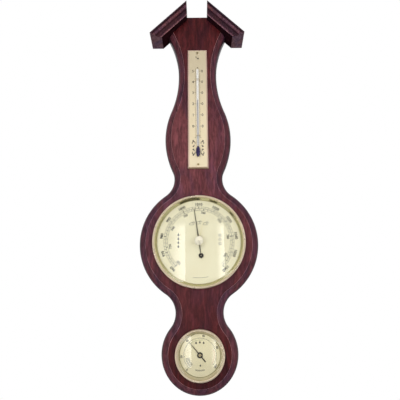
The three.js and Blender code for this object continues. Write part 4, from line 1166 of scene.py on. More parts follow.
@dataclass
class Thermometer:
    """The scale plate, its print, the tube with its spirit, the clips and the pins.

    Attributes:
        zero, degree: height of the 0 mark over the plate's middle, and the length of a degree.
        lowest, highest: ends of the scale, in degrees.
        ticks: for the degrees that a number divides, a tick's length and width.
        tick_x, digit_x: how far from the middle the ticks start and the numbers stand.
        digit: height of the numbers.
        scroll_z: height of the scrolls' middle over the plate's middle.
        ink: how far the print lies over the plate.
        sheet, rim: the plate's thickness, and the radius of its rolled rim.
        bulb: the bulb's two half sizes, across and upwards.
        stem, bore, wall: radii of the tube and of its bore, and thickness of the bulb's wall.
        leg: how far each leg of a wire clip stands from the middle.
    """

    zero: float = -31.2
    degree: float = 1.81
    lowest: int = -10
    highest: int = 52
    ticks: Grades = ((10, 2.4, 0.45), (5, 1.9, 0.3), (1, 1.3, 0.3))
    tick_x: float = 2.5
    digit_x: float = 6.9
    digit: float = 4.2
    scroll_z: float = -65.2
    ink: float = 0.04
    sheet: float = 0.7
    rim: float = 2.6
    bulb: Pair = (3.4, 8.3)
    stem: float = 2.1
    bore: float = 0.4
    wall: float = 0.2
    leg: float = 2.45

    def __post_init__(self) -> None:
        """Reads the places of the plate and of the tube."""
        place, glass = Extent.of("thermometer_plate"), Extent.of("thermometer_tube")
        self.centre = place.centre
        self.half, self.half_length = place.radius, (place.top - place.bottom) / 2
        self.back, self.front = place.back, place.front
        self.axis = glass.axis
        self.bottom, self.top = glass.bottom - self.centre[1], glass.top - self.centre[1]

    def slot(self) -> list[Pair]:
        """Draws the slot for the bulb.

        Returns:
            Its outline, as wide as the bulb is at the plate's front and a hair more.
        """
        sunk = self.axis - self.front
        across, upwards = self.bulb
        outline = []
        for x, z in circle(0, 0, 1, 48):
            width = max((across * x) ** 2 - sunk ** 2, 0.0) ** 0.5
            if width > 0.2:
                outline.append((math.copysign(width + 0.06, x), self.bottom + upwards + upwards * z))
        return outline

    def holes(self) -> list[Piece]:
        """Makes what is cut out of the plate.

        Returns:
            The tools for the slot, the pins and the clips' legs.
        """
        made = [Form(self.centre).prism(self.slot(), self.back - 1, self.front + 1).build("slot")]
        for which in ("upper", "lower"):
            rings = [circle(*Extent.of(f"plate_pin_{which}").centre, 0.8, 24)]
            x, z = Extent.of(f"tube_clip_{which}").centre
            rings += [circle(x + side.value * self.leg, z, 0.42, 16) for side in Side]
            made += [Form().prism(ring, self.back, 30).build("hole") for ring in rings]
        return made

    def plate(self) -> None:
        """The plate: a pressed pan with a round rim, a slot behind the bulb and holes for wires and pins."""
        rim, inner, shoulder = self.rim, self.rim - self.sheet, self.front - self.rim
        profile = [
            *arc(rim, shoulder, -inner, inner, QUARTER, 0, 8),
            (self.sheet, self.back),
            (0.0, self.back),
            *arc(rim, shoulder, -rim, rim, 0, QUARTER, 12),
        ]
        levels = []
        for inset, depth in profile:
            right, top = self.half - inset, self.half_length - inset
            levels.append([(x, depth, z) for x, z in rectangle(-right, right, -top, top)])
        plate = Form(self.centre).stack(levels).build("scale_plate", 50.0)
        carve(plate, self.holes(), 50.0)
        dress(plate, "case", "champagne_metal", Finish.PLATE, "thermometer_plate")
        side, end = self.half - rim - 0.05, self.half_length - rim
        # Painted reflection: the rolled rim is tinted pink for the wood that it mirrors.
        tint(plate, Finish.ROSE, self.centre, lambda x, d, z, way: abs(way.y) < 0.995
             and (abs(x) > side or abs(z) > end - 0.05))
        # Painted shade: the lower rim is darker brown.
        tint(plate, Finish.BRONZE, self.centre, lambda x, d, z, way: way.z < -0.2 and z < -end)

    def print(self) -> None:
        """The scale: a tick for each degree, split numbers for each ten, the unit and the scrolls."""
        form = Form(self.centre)
        depth = self.front + self.ink
        for value in range(self.lowest, self.highest + 1):
            height = self.zero + self.degree * value
            length, width = graded(value, self.ticks)
            for side in Side:
                ends = [(side.value * x, height) for x in (self.tick_x, self.tick_x + length)]
                form.stroke(ends, width, depth)
        for value in range(0, self.highest, 10):
            height = self.zero + self.degree * value
            for side, sign in ((Side.LEFT, str(value // 10)), (Side.RIGHT, "0")):
                form.words(sign, self.digit, (side.value * self.digit_x, height), depth, weight=0.012)
        form.stroke(arc(-2.0, 83.4, 0.95, 0.95, 0, 2 * math.pi, 16), 0.5, depth)
        for turn in (0, 60, 120):
            x, z = clock(2.1, turn)
            form.stroke([(0.9 - x, 81.0 - z), (0.9 + x, 81.0 + z)], 0.55, depth)
        form.patch(circle(0, 65.1, 0.85, 14), depth)
        for side in Side:
            self.scroll(form, side, depth)
        dress(form.build("scale_print"), "case", "champagne_metal", Finish.INK)

    def scroll(self, form: Form, side: Side, depth: float) -> None:
        """A traditional scroll beside the bulb: two curls that meet at a row of dots.

        Args:
            form: the form that it is drawn in.
            side: the side that it stands on.
            depth: where the ink lies.
        """
        dots = ((0.0, 2.4, 1.2), (-1.2, 4.0, 0.7), (0.2, 11.2, 1.0))
        for way in (1, -1):
            curl = []
            for i in range(25):
                share = i / 24
                angle = math.radians(-50 + 300 * share)
                radius = 2.5 - 0.7 * share
                x = self.digit_x - 0.3 - radius * math.cos(angle)
                curl.append((side.value * x, self.scroll_z + way * (7.5 + radius * math.sin(angle))))
            form.stroke(curl, lambda share: 0.4 + 0.75 * math.sin(math.pi * share), depth)
            for x, z, radius in dots:
                place = side.value * (self.digit_x + x), self.scroll_z + way * z
                form.patch(circle(*place, radius, 12), depth)

    def outside(self, shrink: float, neck: float) -> list[Pair]:
        """The bulb's long side, up to the neck.

        Args:
            shrink: how much the bulb is drawn in.
            neck: the neck's radius.

        Returns:
            The side as (radius, height), from the bulb's foot.
        """
        across, upwards = self.bulb
        end = math.acos(neck / (across - shrink))
        return arc(0, self.bottom + upwards, across - shrink, upwards - shrink, 0.001 - QUARTER, end, 24)

    def tube(self) -> None:
        """The glass tube with its bulb, the spirit in it and the white strip behind the bore."""
        stem, bore, top = self.stem, self.bore, self.top
        skin = [*self.outside(0, stem), (stem, top - 1.0), (1.9, top - 0.35), (1.5, top), (bore, top)]
        inner = list(reversed(self.outside(self.wall, bore)))
        glass = Form(self.centre).upright([*skin, *inner], 40, self.axis).build("thermometer_glass")
        dress(glass, "case", "clear_glass", Finish.TUBE, "thermometer_tube")
        gap = 0.05
        inset, thread = self.wall + gap, bore - gap
        level = Extent.of("thermometer_spirit").top - self.centre[1]
        core = [(AXIS, self.bottom + inset), *self.outside(inset, thread)[1:], (thread, level),
                (AXIS, level)]
        spirit = Form(self.centre).upright(core, 28, self.axis).build("spirit_column")
        dress(spirit, "case", "blue_spirit", Finish.SPIRIT, "thermometer_spirit")
        half = 1.7
        outline = rectangle(-half, half, self.bottom + 2 * self.bulb[1] + 1, top - 1.5)
        strip = Form(self.centre).prism(outline, self.axis - 0.95, self.axis - 0.65).build("tube_backing")
        dress(strip, "case", "clear_glass", Finish.ENAMEL)

    def clip(self, which: str) -> None:
        """A wire that holds the tube, with its legs through the plate and bent out behind it.

        Args:
            which: the frame's word for the clip.
        """
        place = Extent.of(f"tube_clip_{which}")
        radius = (place.top - place.bottom) / 2
        hook = place.back + radius
        bend = ((0.5, 0.0), (0.15, 0.1), (0.0, 0.45))
        right = [(place.right, hook), *((self.leg + x, hook + d) for x, d in bend)]
        left = [(-x, d) for x, d in reversed(right)]
        path = [*right, *arc(0, self.axis, self.leg, self.leg, 0, math.pi, 24), *left]
        wire = Form().wire(path, radius, place.centre[1]).build(f"clip_wire_{which}", 60.0)
        dress(wire, "case", "satin_brass", Finish.SATIN, f"tube_clip_{which}")

    def pin(self, which: str) -> None:
        """A round-headed pin that holds the plate to the board.

        Args:
            which: the frame's word for the pin.
        """
        place = Extent.of(f"plate_pin_{which}")
        tip, head = place.back, place.front - 0.75
        profile = [(AXIS, tip), (0.7, tip + 0.7), (0.7, head - 0.15), (1.45, head - 0.15), (1.6, head),
                   *arc(0, head, 1.6, 0.75, 0.15, QUARTER - 0.02, 8)]
        pin = Form(place.centre).turned(profile, 32).build(f"round_pin_{which}")
        dress(pin, "case", "satin_brass", Finish.SATIN, f"plate_pin_{which}")

    def build(self) -> None:
        """Builds the whole thermometer."""
        self.plate()
        self.print()
        self.tube()
        for make in (self.clip, self.pin):
            for which in ("upper", "lower"):
                make(which)


# Instruments


@dataclass
class Housing:
    """A bezel, a glass, a sloping band, a dial and a pressed case.

    Attributes:
        name: the frame's word for the instrument.
        lip: how far the bezel reaches in over the glass.
        shown: radius of the dial that shows inside the sloping band.
        rise: rise of the domed glass.
        hole: radius of the hole in the glass.
        inset: how far the case stands in from the bezel's outside.
        grooves: start and end of each ring in the case's back, as shares of its radius.
        face, lining: the finishes of the dial and of the sloping band.
        screws: the nodes that have a hole in the case's back, each with its hole's radius.
        shade: width of the painted shade at the band's foot.
        steps: steps round the rings.
        wall, sheet: thickness of the bezel's side and of the case.
        groove: depth of the rings in the case's back.
    """

    name: str
    lip: float
    shown: float
    rise: float
    hole: float
    inset: float
    grooves: tuple[Pair, ...]
    face: Finish
    lining: Finish
    screws: tuple[tuple[str, float], ...] = ()
    shade: float = 0.25
    steps: int = 160
    wall: float = 1.6
    sheet: float = 0.6
    groove: float = 0.3

    def __post_init__(self) -> None:
        """Reads the instrument's places."""
        self.ring, self.pane = Extent.of(f"{self.name}_bezel"), Extent.of(f"{self.name}_glass")
        self.plate = Extent.of(f"{self.name}_dial")
        self.centre = self.ring.centre
        self.pane_front = self.pane.front - self.rise

    def make(self, node: str, piece: str, profile: Path, slot: str, finish: Finish,
             smooth: float = 35.0) -> Piece:
        """Turns a piece from its profile, in place of a node of the instrument."""
        ring = Form(self.centre).turned(profile, self.steps).build(f"{self.name}_{piece}", smooth)
        return dress(ring, "case", slot, finish, f"{self.name}_{node}")

    def bezel(self) -> None:
        """The rolled ring: an upright side, a round crown and a lip that turns in over the glass."""
        radius, back, crown = self.ring.radius, self.ring.back, self.ring.front
        inner, roll = self.pane.radius - self.lip, self.wall * 0.9
        under = self.pane_front + 0.3
        rise = (crown - under) * 0.6
        self.make("bezel", "rolled_bezel", [
            (radius - self.wall, back),
            (radius - 0.15, back),
            (radius, back + 0.15),
            *arc(radius - roll, crown - roll, roll, roll, 0, QUARTER, 12),
            *arc(radius - roll, crown - rise, inner - radius + roll, rise, QUARTER, 0.08, 12),
            (inner, under),
            (radius - self.wall, under),
        ], "polished_brass", Finish.BRASS)

    def glass(self) -> None:
        """The domed glass."""
        dome, back, front = self.pane.radius - self.lip - 0.3, self.pane.back, self.pane_front
        hole = max(self.hole, AXIS)
        shares = [1 - (1 - hole / dome) * i / 14 for i in range(15)]
        rows = [(dome * share, self.rise * (1 - share * share)) for share in shares]
        self.make("glass", "domed_glass", [
            *((r, back + h) for r, h in reversed(rows)),
            (self.pane.radius, back),
            (self.pane.radius, front),
            *((r, front + h) for r, h in rows),
        ], "clear_glass", Finish.GLASS, 25.0)

    def band(self) -> None:
        """The bright band that slopes from the dial to the glass, with a rolled foot."""
        place = Extent.of(f"{self.name}_sloping_band")
        foot, top, outer = place.back, place.front, place.radius
        width, height = outer - 0.5 - self.shown, top - foot - 0.5
        band = self.make("sloping_band", "bright_band", [
            (self.shown + 0.1, foot),
            (self.shown + 0.5, foot),
            (outer, top - 0.5),
            (outer, top),
            (outer - 0.5, top),
            *((self.shown + width * (1 - share), top - height * share ** 0.8)
              for share in (0.2, 0.4, 0.6, 0.8)),
            (self.shown + 0.15, foot + 0.45),
            (self.shown, foot + 0.2),
        ], "polished_brass", self.lining)
        # Painted shade: the band's foot is darker where it meets the dial.
        tint(band, Finish.OLIVE, self.centre,
             lambda x, d, z, way: math.hypot(x, z) < self.shown + self.shade)

    def dial(self) -> None:
        """The dial, with eased edges."""
        hole, back, front, r = 1.1, self.plate.back, self.plate.front, self.plate.radius
        self.make("dial", "dial_plate", [
            (hole, back), (r - 0.1, back), (r, back + 0.1), (r, front - 0.15), (r - 0.15, front),
            (r * 0.8, front), (r * 0.4, front), (hole, front),
        ], "dial_metal", self.face)

    def cup(self) -> None:
        """The pressed case, with its rolled corner, the shallow rings in its back and the screws' holes."""
        place = Extent.of(f"{self.name}_case")
        back, front = place.back, place.front
        outer, inner, corner = self.ring.radius - self.inset, self.ring.radius - self.inset - self.sheet, 1.2
        low = self.groove
        rings = [(outer * share, back + dip) for start, end in self.grooves
                 for share, dip in ((start, 0.0), (start + 0.02, low), (end - 0.02, low), (end, 0.0))]
        profile = [
            (AXIS, back),
            *rings,
            *arc(outer - corner, back + corner, corner, -corner, QUARTER, 0, 6),
            (outer, front - 0.5),
            (place.radius, front - 0.5),
            (place.radius, front),
            (inner, front),
            *arc(inner - corner, back + self.sheet + corner, corner, -corner, 0, QUARTER, 4),
            *((r, d + self.sheet) for r, d in reversed(rings)),
            (AXIS, back + self.sheet),
        ]
        cup = Form(self.centre).turned(profile, 128).build(f"{self.name}_pressed_case")
        tools = []
        for node, radius in self.screws:
            hole = [(AXIS, 0), (radius, 0), (radius, back + 3), (AXIS, back + 3)]
            tools.append(Form(Extent.of(node).centre).turned(hole, 32).build("hole"))
        if tools:
            carve(cup, tools)
        dress(cup, "case", "case_metal", Finish.TIN, f"{self.name}_case")

    def build(self) -> None:
        """Builds the whole housing."""
        self.bezel()
        self.glass()
        self.band()
        self.dial()
        self.cup()


@dataclass
class DialPrint:
    """The marks of a dial.

    Attributes:
        housing: the housing whose dial is printed.
        lift: how far the ink lies over the dial.
        line: width of the lines of the weather signs.
        puffs: a cloud's puffs: their middle's x and height, their two radii, their first and last angle in
            degrees, and their steps.
    """

    housing: Housing
    lift: float = 0.04
    line: float = 0.44
    puffs: tuple[tuple[float, float, float, float, float, float, int], ...] = (
        (0.55, 0.22, 0.32, 0.32, -90, 110, 10),
        (0.05, 0.5, 0.45, 0.42, 20, 165, 12),
        (-0.5, 0.25, 0.35, 0.35, 95, 270, 10),
    )

    def __post_init__(self) -> None:
        """Starts with no marks."""
        self.form = Form(self.housing.centre)
        self.depth = self.housing.plate.front + self.lift

    def ring(self, radius: float, start: float, end: float, width: float) -> None:
        """A line round the dial between two angles.

        Args:
            radius: its radius.
            start, end: the angles in degrees.
            width: its width.
        """
        steps = max(4, round(abs(end - start) / 3))
        path = [clock(radius, start + (end - start) * i / steps) for i in range(steps + 1)]
        self.form.stroke(path, width, self.depth)

    def tick(self, angle: float, inner: float, outer: float, width: float) -> None:
        """A line that points at the dial's centre."""
        self.form.stroke([clock(inner, angle), clock(outer, angle)], width, self.depth)

    def label(self, text: str, angle: float, radius: float, height: float) -> None:
        """A number that stands on the dial's circle."""
        self.form.words(text, height, clock(radius, angle), self.depth, angle)

    def drop(self, x: float, z: float, size: float) -> None:
        """A falling drop."""
        bowl = arc(x, z, size * 0.42, size * 0.42, math.radians(150), math.radians(390), 14)
        self.form.patch([*bowl, (x, z + size)], self.depth)

    def sun(self, x: float, z: float, size: float, end: float = 360) -> None:
        """A ring with rays, or the part of it up to an angle in degrees.

        Args:
            x, z: its middle.
            size: its radius with the rays.
            end: the angle.
        """
        self.form.stroke(arc(x, z, size * 0.5, size * 0.5, 0, math.radians(end), 20), self.line, self.depth)
        for angle in range(0, 360, 45):
            if angle <= end:
                across, up = math.cos(math.radians(angle)), math.sin(math.radians(angle))
                ray = [(x + reach * across, z + reach * up) for reach in (size * 0.68, size)]
                self.form.stroke(ray, self.line, self.depth)

    def cloud(self, x: float, z: float, size: float) -> None:
        """A cloud's outline: three puffs on a flat foot.

        Args:
            x, z: the middle of its foot.
            size: its half width.
        """
        outline = []
        for across, up, rx, rz, start, end, steps in self.puffs:
            outline += arc(x + size * across, z + size * up, size * rx, size * rz, math.radians(start),
                           math.radians(end), steps)
        self.form.stroke([*outline, outline[0]], self.line, self.depth)

    def build(self, name: str, finish: Finish) -> None:
        """Builds the marks as one piece."""
        dress(self.form.build(name), "case", "dial_metal", finish)


@dataclass(frozen=True)
class Scale:
    """An even scale on a dial.

    Attributes:
        first, last: its lowest and its highest value.
        start, end: their angles.
        label: the size of its numbers.
        label_radius: the circle that they stand on.
    """

    first: int
    last: int
    start: float
    end: float
    label: float
    label_radius: float

    def angle(self, value: float) -> float:
        """The angle of a value."""
        return self.start + (value - self.first) / (self.last - self.first) * (self.end - self.start)


@dataclass
class Barometer:
    """The large dial with its hands and knob.

    Attributes:
        hectopascals, mercury: the outer scale, and the inner one in millimetres of mercury.
        ticks: for the values that a number divides, how far a tick ends before its circle, and its width.
        tracks: radii of the three circles of the tick band.
        foot_line: radius and two angles of the plain line at the dial's foot.
        pointer, set_angle: rest angles of the pointer and of the set hand.
        tail, eye: where the ring on the pointer's tail stands, and its radius.
        sheet: thickness of the hands.
    """

    hectopascals: Scale = Scale(960, 1060, -136.0, 136.0, 4.1, 52.3)
    mercury: Scale = Scale(720, 795, -136.3, 136.1, 3.4, 40.6)
    ticks: Grades = ((10, 0.0, 0.9), (2, 0.6, 0.5), (1, 1.7, 0.25))
    tracks: tuple[float, float, float] = (43.6, 46.2, 48.9)
    foot_line: tuple[float, float, float] = (49.8, 166, 190)
    pointer: float = -8.0
    set_angle: float = 13.0
    tail: float = 20.0
    eye: float = 3.4
    sheet: float = 0.4

    def __post_init__(self) -> None:
        """Makes the housing."""
        screws = ("movement_screw_upper", 1.2), ("movement_screw_lower", 1.2), ("adjusting_screw", 2.7)
        self.housing = Housing("barometer", lip=1.1, shown=57.9, rise=2.6, hole=1.8, inset=3.5,
                               grooves=((0.72, 0.82),), face=Finish.DIAL, lining=Finish.BAND, screws=screws)

    def scales(self) -> None:
        """The two scales: hectopascals outside and millimetres of mercury inside."""
        marks = DialPrint(self.housing)
        inner, middle, outer = self.tracks
        for radius in self.tracks:
            marks.ring(radius, self.hectopascals.start, self.hectopascals.end, 0.34)
        for scale, reach, inwards in ((self.hectopascals, outer, -1), (self.mercury, inner, 1)):
            for value in range(scale.first, scale.last + 1):
                angle = scale.angle(value)
                short, width = graded(value, self.ticks)
                marks.tick(angle, *sorted((middle, reach + inwards * short)), width)
                if value % 10 == 0:
                    marks.label(str(value), angle, scale.label_radius, scale.label)
        marks.ring(*self.foot_line, 0.35)
        marks.build("barometer_scales", Finish.INK)

    def signs(self) -> None:
        """The weather signs: rain on the left, change at the top and fair on the right."""
        marks = DialPrint(self.housing)
        for x, z in ((-9.6, 23.2), (0.0, 24.6), (9.6, 23.2)):
            marks.cloud(x - 0.8, z, 3.4)
            marks.sun(x + 2.0, z + 2.3, 2.5, 150)
        for z in (-7.6, -2.2, 3.2, 8.6):
            marks.drop(-28.6, z, 3.0)
        for z in (-3.6, 2.3, 8.2):
            marks.sun(29.3, z, 2.6)
        marks.build("barometer_weather_signs", Finish.INK)

    def pressure_hand(self) -> None:
        """The black pointer: a long needle, a round hub and a ring on its tail."""
        back = Extent.of("pressure_pointer").back
        front, eye = back + self.sheet, self.eye
        form = Form(self.housing.centre)
        for rows in (
            ((1.0, 0.0), (0.6, 14.0), (0.3, 46.7)),
            ((0.45, 3.0 - self.tail), (0.55, -6.0), (1.4, 0.0)),
            ((0.25, -24.0), (0.5, 0.3 - self.tail - eye)),
        ):
            form.blade(rows, back, front)
        bore, ease, hub = 0.8, 0.1, 2.6
        form.turned([(bore, back), (eye, back), (eye, front - ease), (eye - ease, front),
                     (bore + ease, front), (bore, front - ease)], 48, -self.tail)
        form.turned([(1.1, back), (hub, back), (hub, front + 0.2), (hub - 0.2, front + 0.4),
                     (1.1, front + 0.4)], 48)
        piece = form.turn_by(self.pointer).build("pressure_needle")
        dress(piece, "pressure_hand", "black_hand", Finish.HAND, "pressure_pointer")

    def set_needle(self) -> None:
        """The brass set hand with its boss."""
        back = Extent.of("set_hand").back
        front = back + 2.0
        form = Form(self.housing.centre)
        form.blade([(0.75, 0.0), (0.2, 35.0)], back, back + self.sheet)
        form.turned([(1.7, back), (2.4, back), (2.4, front - 0.15), (2.25, front), (1.7, front)], 40)
        piece = form.turn_by(self.set_angle).build("set_needle")
        dress(piece, "set_hand", "polished_brass", Finish.SET_HAND, "set_hand")

    def knob(self) -> None:
        """The turned knob: a stem, a rim with a fine groove and a flat cone with a point."""
        place = Extent.of("set_knob")
        back, radius, under = place.back, place.radius, place.front - 5.6
        rim = ((0.4, 0.0), (0.0, 0.4), (0.0, 0.7), (0.2, 0.85), (0.0, 1.0), (0.0, 1.3))
        cone = ((0.95, 0.0), (0.8, 0.55), (0.6, 1.35), (0.4, 2.25), (0.2, 3.3), (0.09, 3.9), (0.03, 4.13))
        profile = [
            (AXIS, back),
            (1.4, back),
            (1.4, under),
            *((radius - inset, under + height) for inset, height in rim),
            *((radius * share, under + 1.45 + height) for share, height in cone),
            (AXIS, place.front),
        ]
        knob = Form(self.housing.centre).turned(profile, 72).build("turned_knob")
        dress(knob, "set_hand", "polished_brass", Finish.KNOB, "set_knob")

    def build(self) -> None:
        """Builds the whole barometer."""
        self.housing.build()
        self.scales()
        self.signs()
        self.pressure_hand()
        self.set_needle()
        self.knob()


@dataclass
class Hygrometer:
    """The small dial with its hand.

    Attributes:
        labels: each number's angle.
        ticks: for the values that a number divides, a tick's length and width.
        track, label_radius, zone_radius: the circles of the scale, of its numbers and of the coloured zones.
        hatching: the two radii and the two angles of the hatched dry zone.
        pointer: the hand's rest angle.
    """

    labels: tuple[tuple[int, float], ...] = (
        (0, -136.0), (20, -94.5), (40, -43.0), (60, 12.0), (80, 68.0), (100, 124.0),
    )
    ticks: Grades = ((20, 1.5, 0.5), (1, 0.9, 0.32))
    track: float = 21.2
    label_radius: float = 24.3
    zone_radius: float = 18.7
    hatching: tuple[float, float, float, float] = (14.8, 19.0, -138, -103)
    pointer: float = -41.0

    def __post_init__(self) -> None:
        """Makes the housing."""
        self.housing = Housing("hygrometer", lip=0.8, shown=26.4, rise=1.4, hole=0.0, inset=2.5,
                               grooves=((0.30, 0.38), (0.72, 0.82)), face=Finish.SMALL_DIAL,
                               lining=Finish.SMALL_BAND, shade=0.7, steps=128)

    def angle(self, value: float) -> float:
        """The angle of a humidity, between the two numbers around it.

        Args:
            value: the humidity.

        Returns:
            The angle in degrees.
        """
        for (low, start), (high, end) in zip(self.labels, self.labels[1:]):
            if value <= high:
                return start + (value - low) / (high - low) * (end - start)
        return self.labels[-1][1]

    def scale(self) -> None:
        """The scale, the unit's drop, the hatched dry zone, the sign and the ticks at the dial's foot."""
        marks = DialPrint(self.housing)
        marks.ring(self.track, self.labels[0][1], self.labels[-1][1], 0.25)
        for value in range(0, 101, 2):
            length, width = graded(value, self.ticks)
            marks.tick(self.angle(value), self.track - length, self.track, width)
        for value, angle in self.labels:
            marks.label(str(value), angle, self.label_radius, 2.8)
        marks.drop(0.3, -13.0, 2.2)
        inner, outer, start, end = self.hatching
        for i in range(8):
            marks.tick(start + i * 5.0, inner, outer, 0.5)
        for radius in (inner, outer):
            marks.ring(radius, start, end, 0.4)
        for x in (-5.0, 0.0, 5.0):
            marks.drop(x, 15.4 - abs(x) * 0.14, 2.5)
        for i in range(-5, 6):
            marks.tick(180 + i * 3.4, 17.8, 19.6, 0.55)
        marks.build("hygrometer_scale", Finish.INK)

    def zone(self, colour: str, first: int, last: int) -> None:
        """A coloured line under the scale, from one value to another.

        Args:
            colour: its finish.
            first, last: the values.
        """
        marks = DialPrint(self.housing)
        marks.ring(self.zone_radius, self.angle(first), self.angle(last), 0.5)
        marks.build(f"hygrometer_{colour}_zone", Finish[colour.upper()])

    def hand(self) -> None:
        """The black hand: a needle, a counterweight and a wide hub with a bright cap."""
        back = Extent.of("humidity_pointer").back
        front, hub, cap = back + 0.4, 3.7, 1.9
        form = Form(self.housing.centre)
        form.blade([(0.75, 0.0), (0.15, 21.3)], back, front)
        form.blade([(0.75, -11.0), (0.65, 0.0)], back, front)
        form.turned([(0.9, back), (hub, back), (hub, front - 0.1), (hub - 0.25, front + 0.1),
                     (cap, front + 0.1), (cap - 0.1, front + 0.4), (0.9, front + 0.4)], 48)
        hand = form.turn_by(self.pointer).build("humidity_needle")
        dress(hand, "humidity_hand", "black_hand", Finish.HAND, "humidity_pointer")
        tint(hand, Finish.SATIN, self.housing.centre,
             lambda x, d, z, way: d > front + 0.15 and math.hypot(x, z) < cap)

    def build(self) -> None:
        """Builds the whole hygrometer."""
        self.housing.build()
        self.scale()
        self.zone("green", 40, 60)
        self.zone("red", 80, 100)
        self.hand()


# Pieces that keep the frame's shape


@dataclass
class Works:
    """The movements, the fasteners and the hanger, which keep their shapes and get their finishes.

    Attributes:
        ease: how much their edges are rounded.
    """

    ease: float = 0.12
    finishes: ClassVar[dict[str, Finish]] = {
        "polished_brass": Finish.BRASS,
        "satin_brass": Finish.SATIN,
        "zinc_steel": Finish.STEEL,
        "spring_steel": Finish.SPRING,
        "capsule_metal": Finish.NICKEL,
        "case_metal": Finish.TIN,
    }

    def build(self) -> None:
        """Finishes each node that still shows."""
        slots = {part["node"]: part["material_slot"] for part in frame["record"]["subparts"]}
        for name, node in sorted(frame["nodes"].items()):
            if node.hide_render:
                continue
            finish = self.finishes[slots[name]]
            for holder in node.material_slots:
                holder.material = finish.material()
            soften(node, self.ease, 40.0)
            log.info("%s keeps its shape, in %s", name, finish.value.name)


# Studio


@dataclass
class Studio:
    """The camera, the lamps, the white surroundings and the floor.

    Attributes:
        focal: focal length in pixels of a 400 pixel picture.
        pitch, roll: the camera's tilts in degrees.
        stand: the camera's place from the barometer's centre, as x, depth and height.
        ambient: level of the surroundings' light.
        room: level of the dim room behind the camera, as bright things mirror it.
        floor, floor_lift: height of the floor from the barometer's centre, and how much brighter the camera
            sees it.
        broad: the soft lamps: their name, place, width and height in metres, and level.
        strips: the mirrored lamps: their side, and their left and right edge.
        strip_level, strip_distance, strip_ends: level, depth and two heights of the mirrored lamps.
        flags: the dark cards: their name, their two sides and their nearest and farthest depth.
    """

    focal: float = 369.0
    pitch: float = 12.6
    roll: float = -0.56
    stand: Point = (2.0, 530.5, -56.0)
    ambient: float = 0.45
    room: float = 0.22
    floor: float = -950.0
    floor_lift: float = 0.36
    broad: tuple[tuple[str, Point, Pair, float], ...] = (
        ("broad_left", (-520, 850, 40), (0.5, 0.8), 2.9),
        ("broad_right", (560, 850, 20), (0.5, 0.8), 2.7),
        ("broad_above", (0, 900, 760), (0.9, 0.5), 1.7),
    )
    strips: tuple[tuple[Side, float, float], ...] = ((Side.LEFT, -352.0, -157.0), (Side.RIGHT, 173.0, 276.0))
    strip_level: float = 3.4
    strip_distance: float = 1500.0
    strip_ends: Pair = (-620.0, 394.0)
    flags: tuple[tuple[str, Pair, Pair], ...] = (
        ("flag_near", (-350.0, 350.0), (50.0, 290.0)),
        ("flag_middle", (-40.0, 540.0), (300.0, 1300.0)),
        ("flag_left", (-540.0, -290.0), (550.0, 1300.0)),
        ("flag_far_left", (-1650.0, -1250.0), (1000.0, 1900.0)),
    )

    def __post_init__(self) -> None:
        """Reads where the barometer is."""
        self.centre = Extent.of("barometer_bezel").centre

    def point(self, x: float, depth: float, height: float) -> Vector:
        """A place in the frame, from the barometer's centre."""
        return Vector((self.centre[0] + x, -depth, self.centre[1] + height)) * MM

    def camera(self) -> None:
        """The camera, where the photographer stood."""
        data = bpy.data.cameras.new("camera")
        data.sensor_width = 36.0
        data.lens = data.sensor_width * self.focal / 400
        data.clip_start, data.clip_end = 0.01, 50.0
        pitch, roll = math.radians(self.pitch), math.radians(self.roll)
        ahead = Vector((0.0, math.cos(pitch), math.sin(pitch)))
        right, up = Vector((1.0, 0.0, 0.0)), Vector((0.0, -math.sin(pitch), math.cos(pitch)))
        right, up = (right * math.cos(roll) + up * math.sin(roll),
                     up * math.cos(roll) - right * math.sin(roll))
        pose = Matrix((right, up, -ahead)).transposed().to_4x4()
        pose.translation = self.point(*self.stand)
        camera = bpy.data.objects.new("camera", data)
        camera.matrix_world = pose
        bpy.context.scene.collection.objects.link(camera)
        bpy.context.scene.camera = camera

    def lamp(self, name: str, at: Vector, towards: Vector, size: Pair, level: float) -> Piece:
        """A rectangular lamp that bright things don't mirror.

        Args:
            name: its name.
            at, towards: where it stands and what it faces.
            size: its width and height in metres.
            level: the brightness of its face.

        Returns:
            The lamp.
        """
        width, height = size
        data = bpy.data.lights.new(name, "AREA")
        data.shape, data.size, data.size_y = "RECTANGLE", width, height
        data.energy = level * math.pi * width * height
        lamp = bpy.data.objects.new(name, data)
        lamp.location = at
        lamp.rotation_euler = (towards - at).to_track_quat("-Z", "Y").to_euler()
        lamp.visible_glossy = False
        bpy.context.scene.collection.objects.link(lamp)
        return lamp

    def strip(self, side: Side, left: float, right: float) -> None:
        """A tall lamp that the glasses mirror, faint at its left edge and full at its right one.

        Args:
            side: the side that it stands on.
            left, right: its edges, in millimetres from the middle.
        """
        bottom, top = self.strip_ends
        middle, height = (left + right) / 2, (bottom + top) / 2
        lamp = self.lamp(f"strip_{side.name.lower()}", self.point(middle, self.strip_distance, height),
                         self.point(middle, 0, height), ((right - left) * MM, (top - bottom) * MM),
                         self.strip_level)
        lamp.visible_glossy = True
        n = Nodes(lamp.data)
        across = n.add("ShaderNodeSeparateXYZ", Vector=n.add("ShaderNodeNewGeometry").outputs["Parametric"])
        fade = n.ramp(across.outputs["X"], 0.0, 0.85, 0.0, 1.0)
        head = n.ramp(across.outputs["Y"], 0.9, 1.0, 1.0, 0.0)
        glow = n.add("ShaderNodeEmission", Strength=n.maths("MULTIPLY", fade, head))
        n.add("ShaderNodeOutputLight", Surface=glow.outputs[0])

    def lamps(self) -> None:
        """Two broad soft lamps before the middle, one from above, and two strips beside the camera."""
        aim = self.point(0, 0, 40)
        for name, place, size, level in self.broad:
            self.lamp(name, self.point(*place), aim, size, level)
        for strip in self.strips:
            self.strip(*strip)

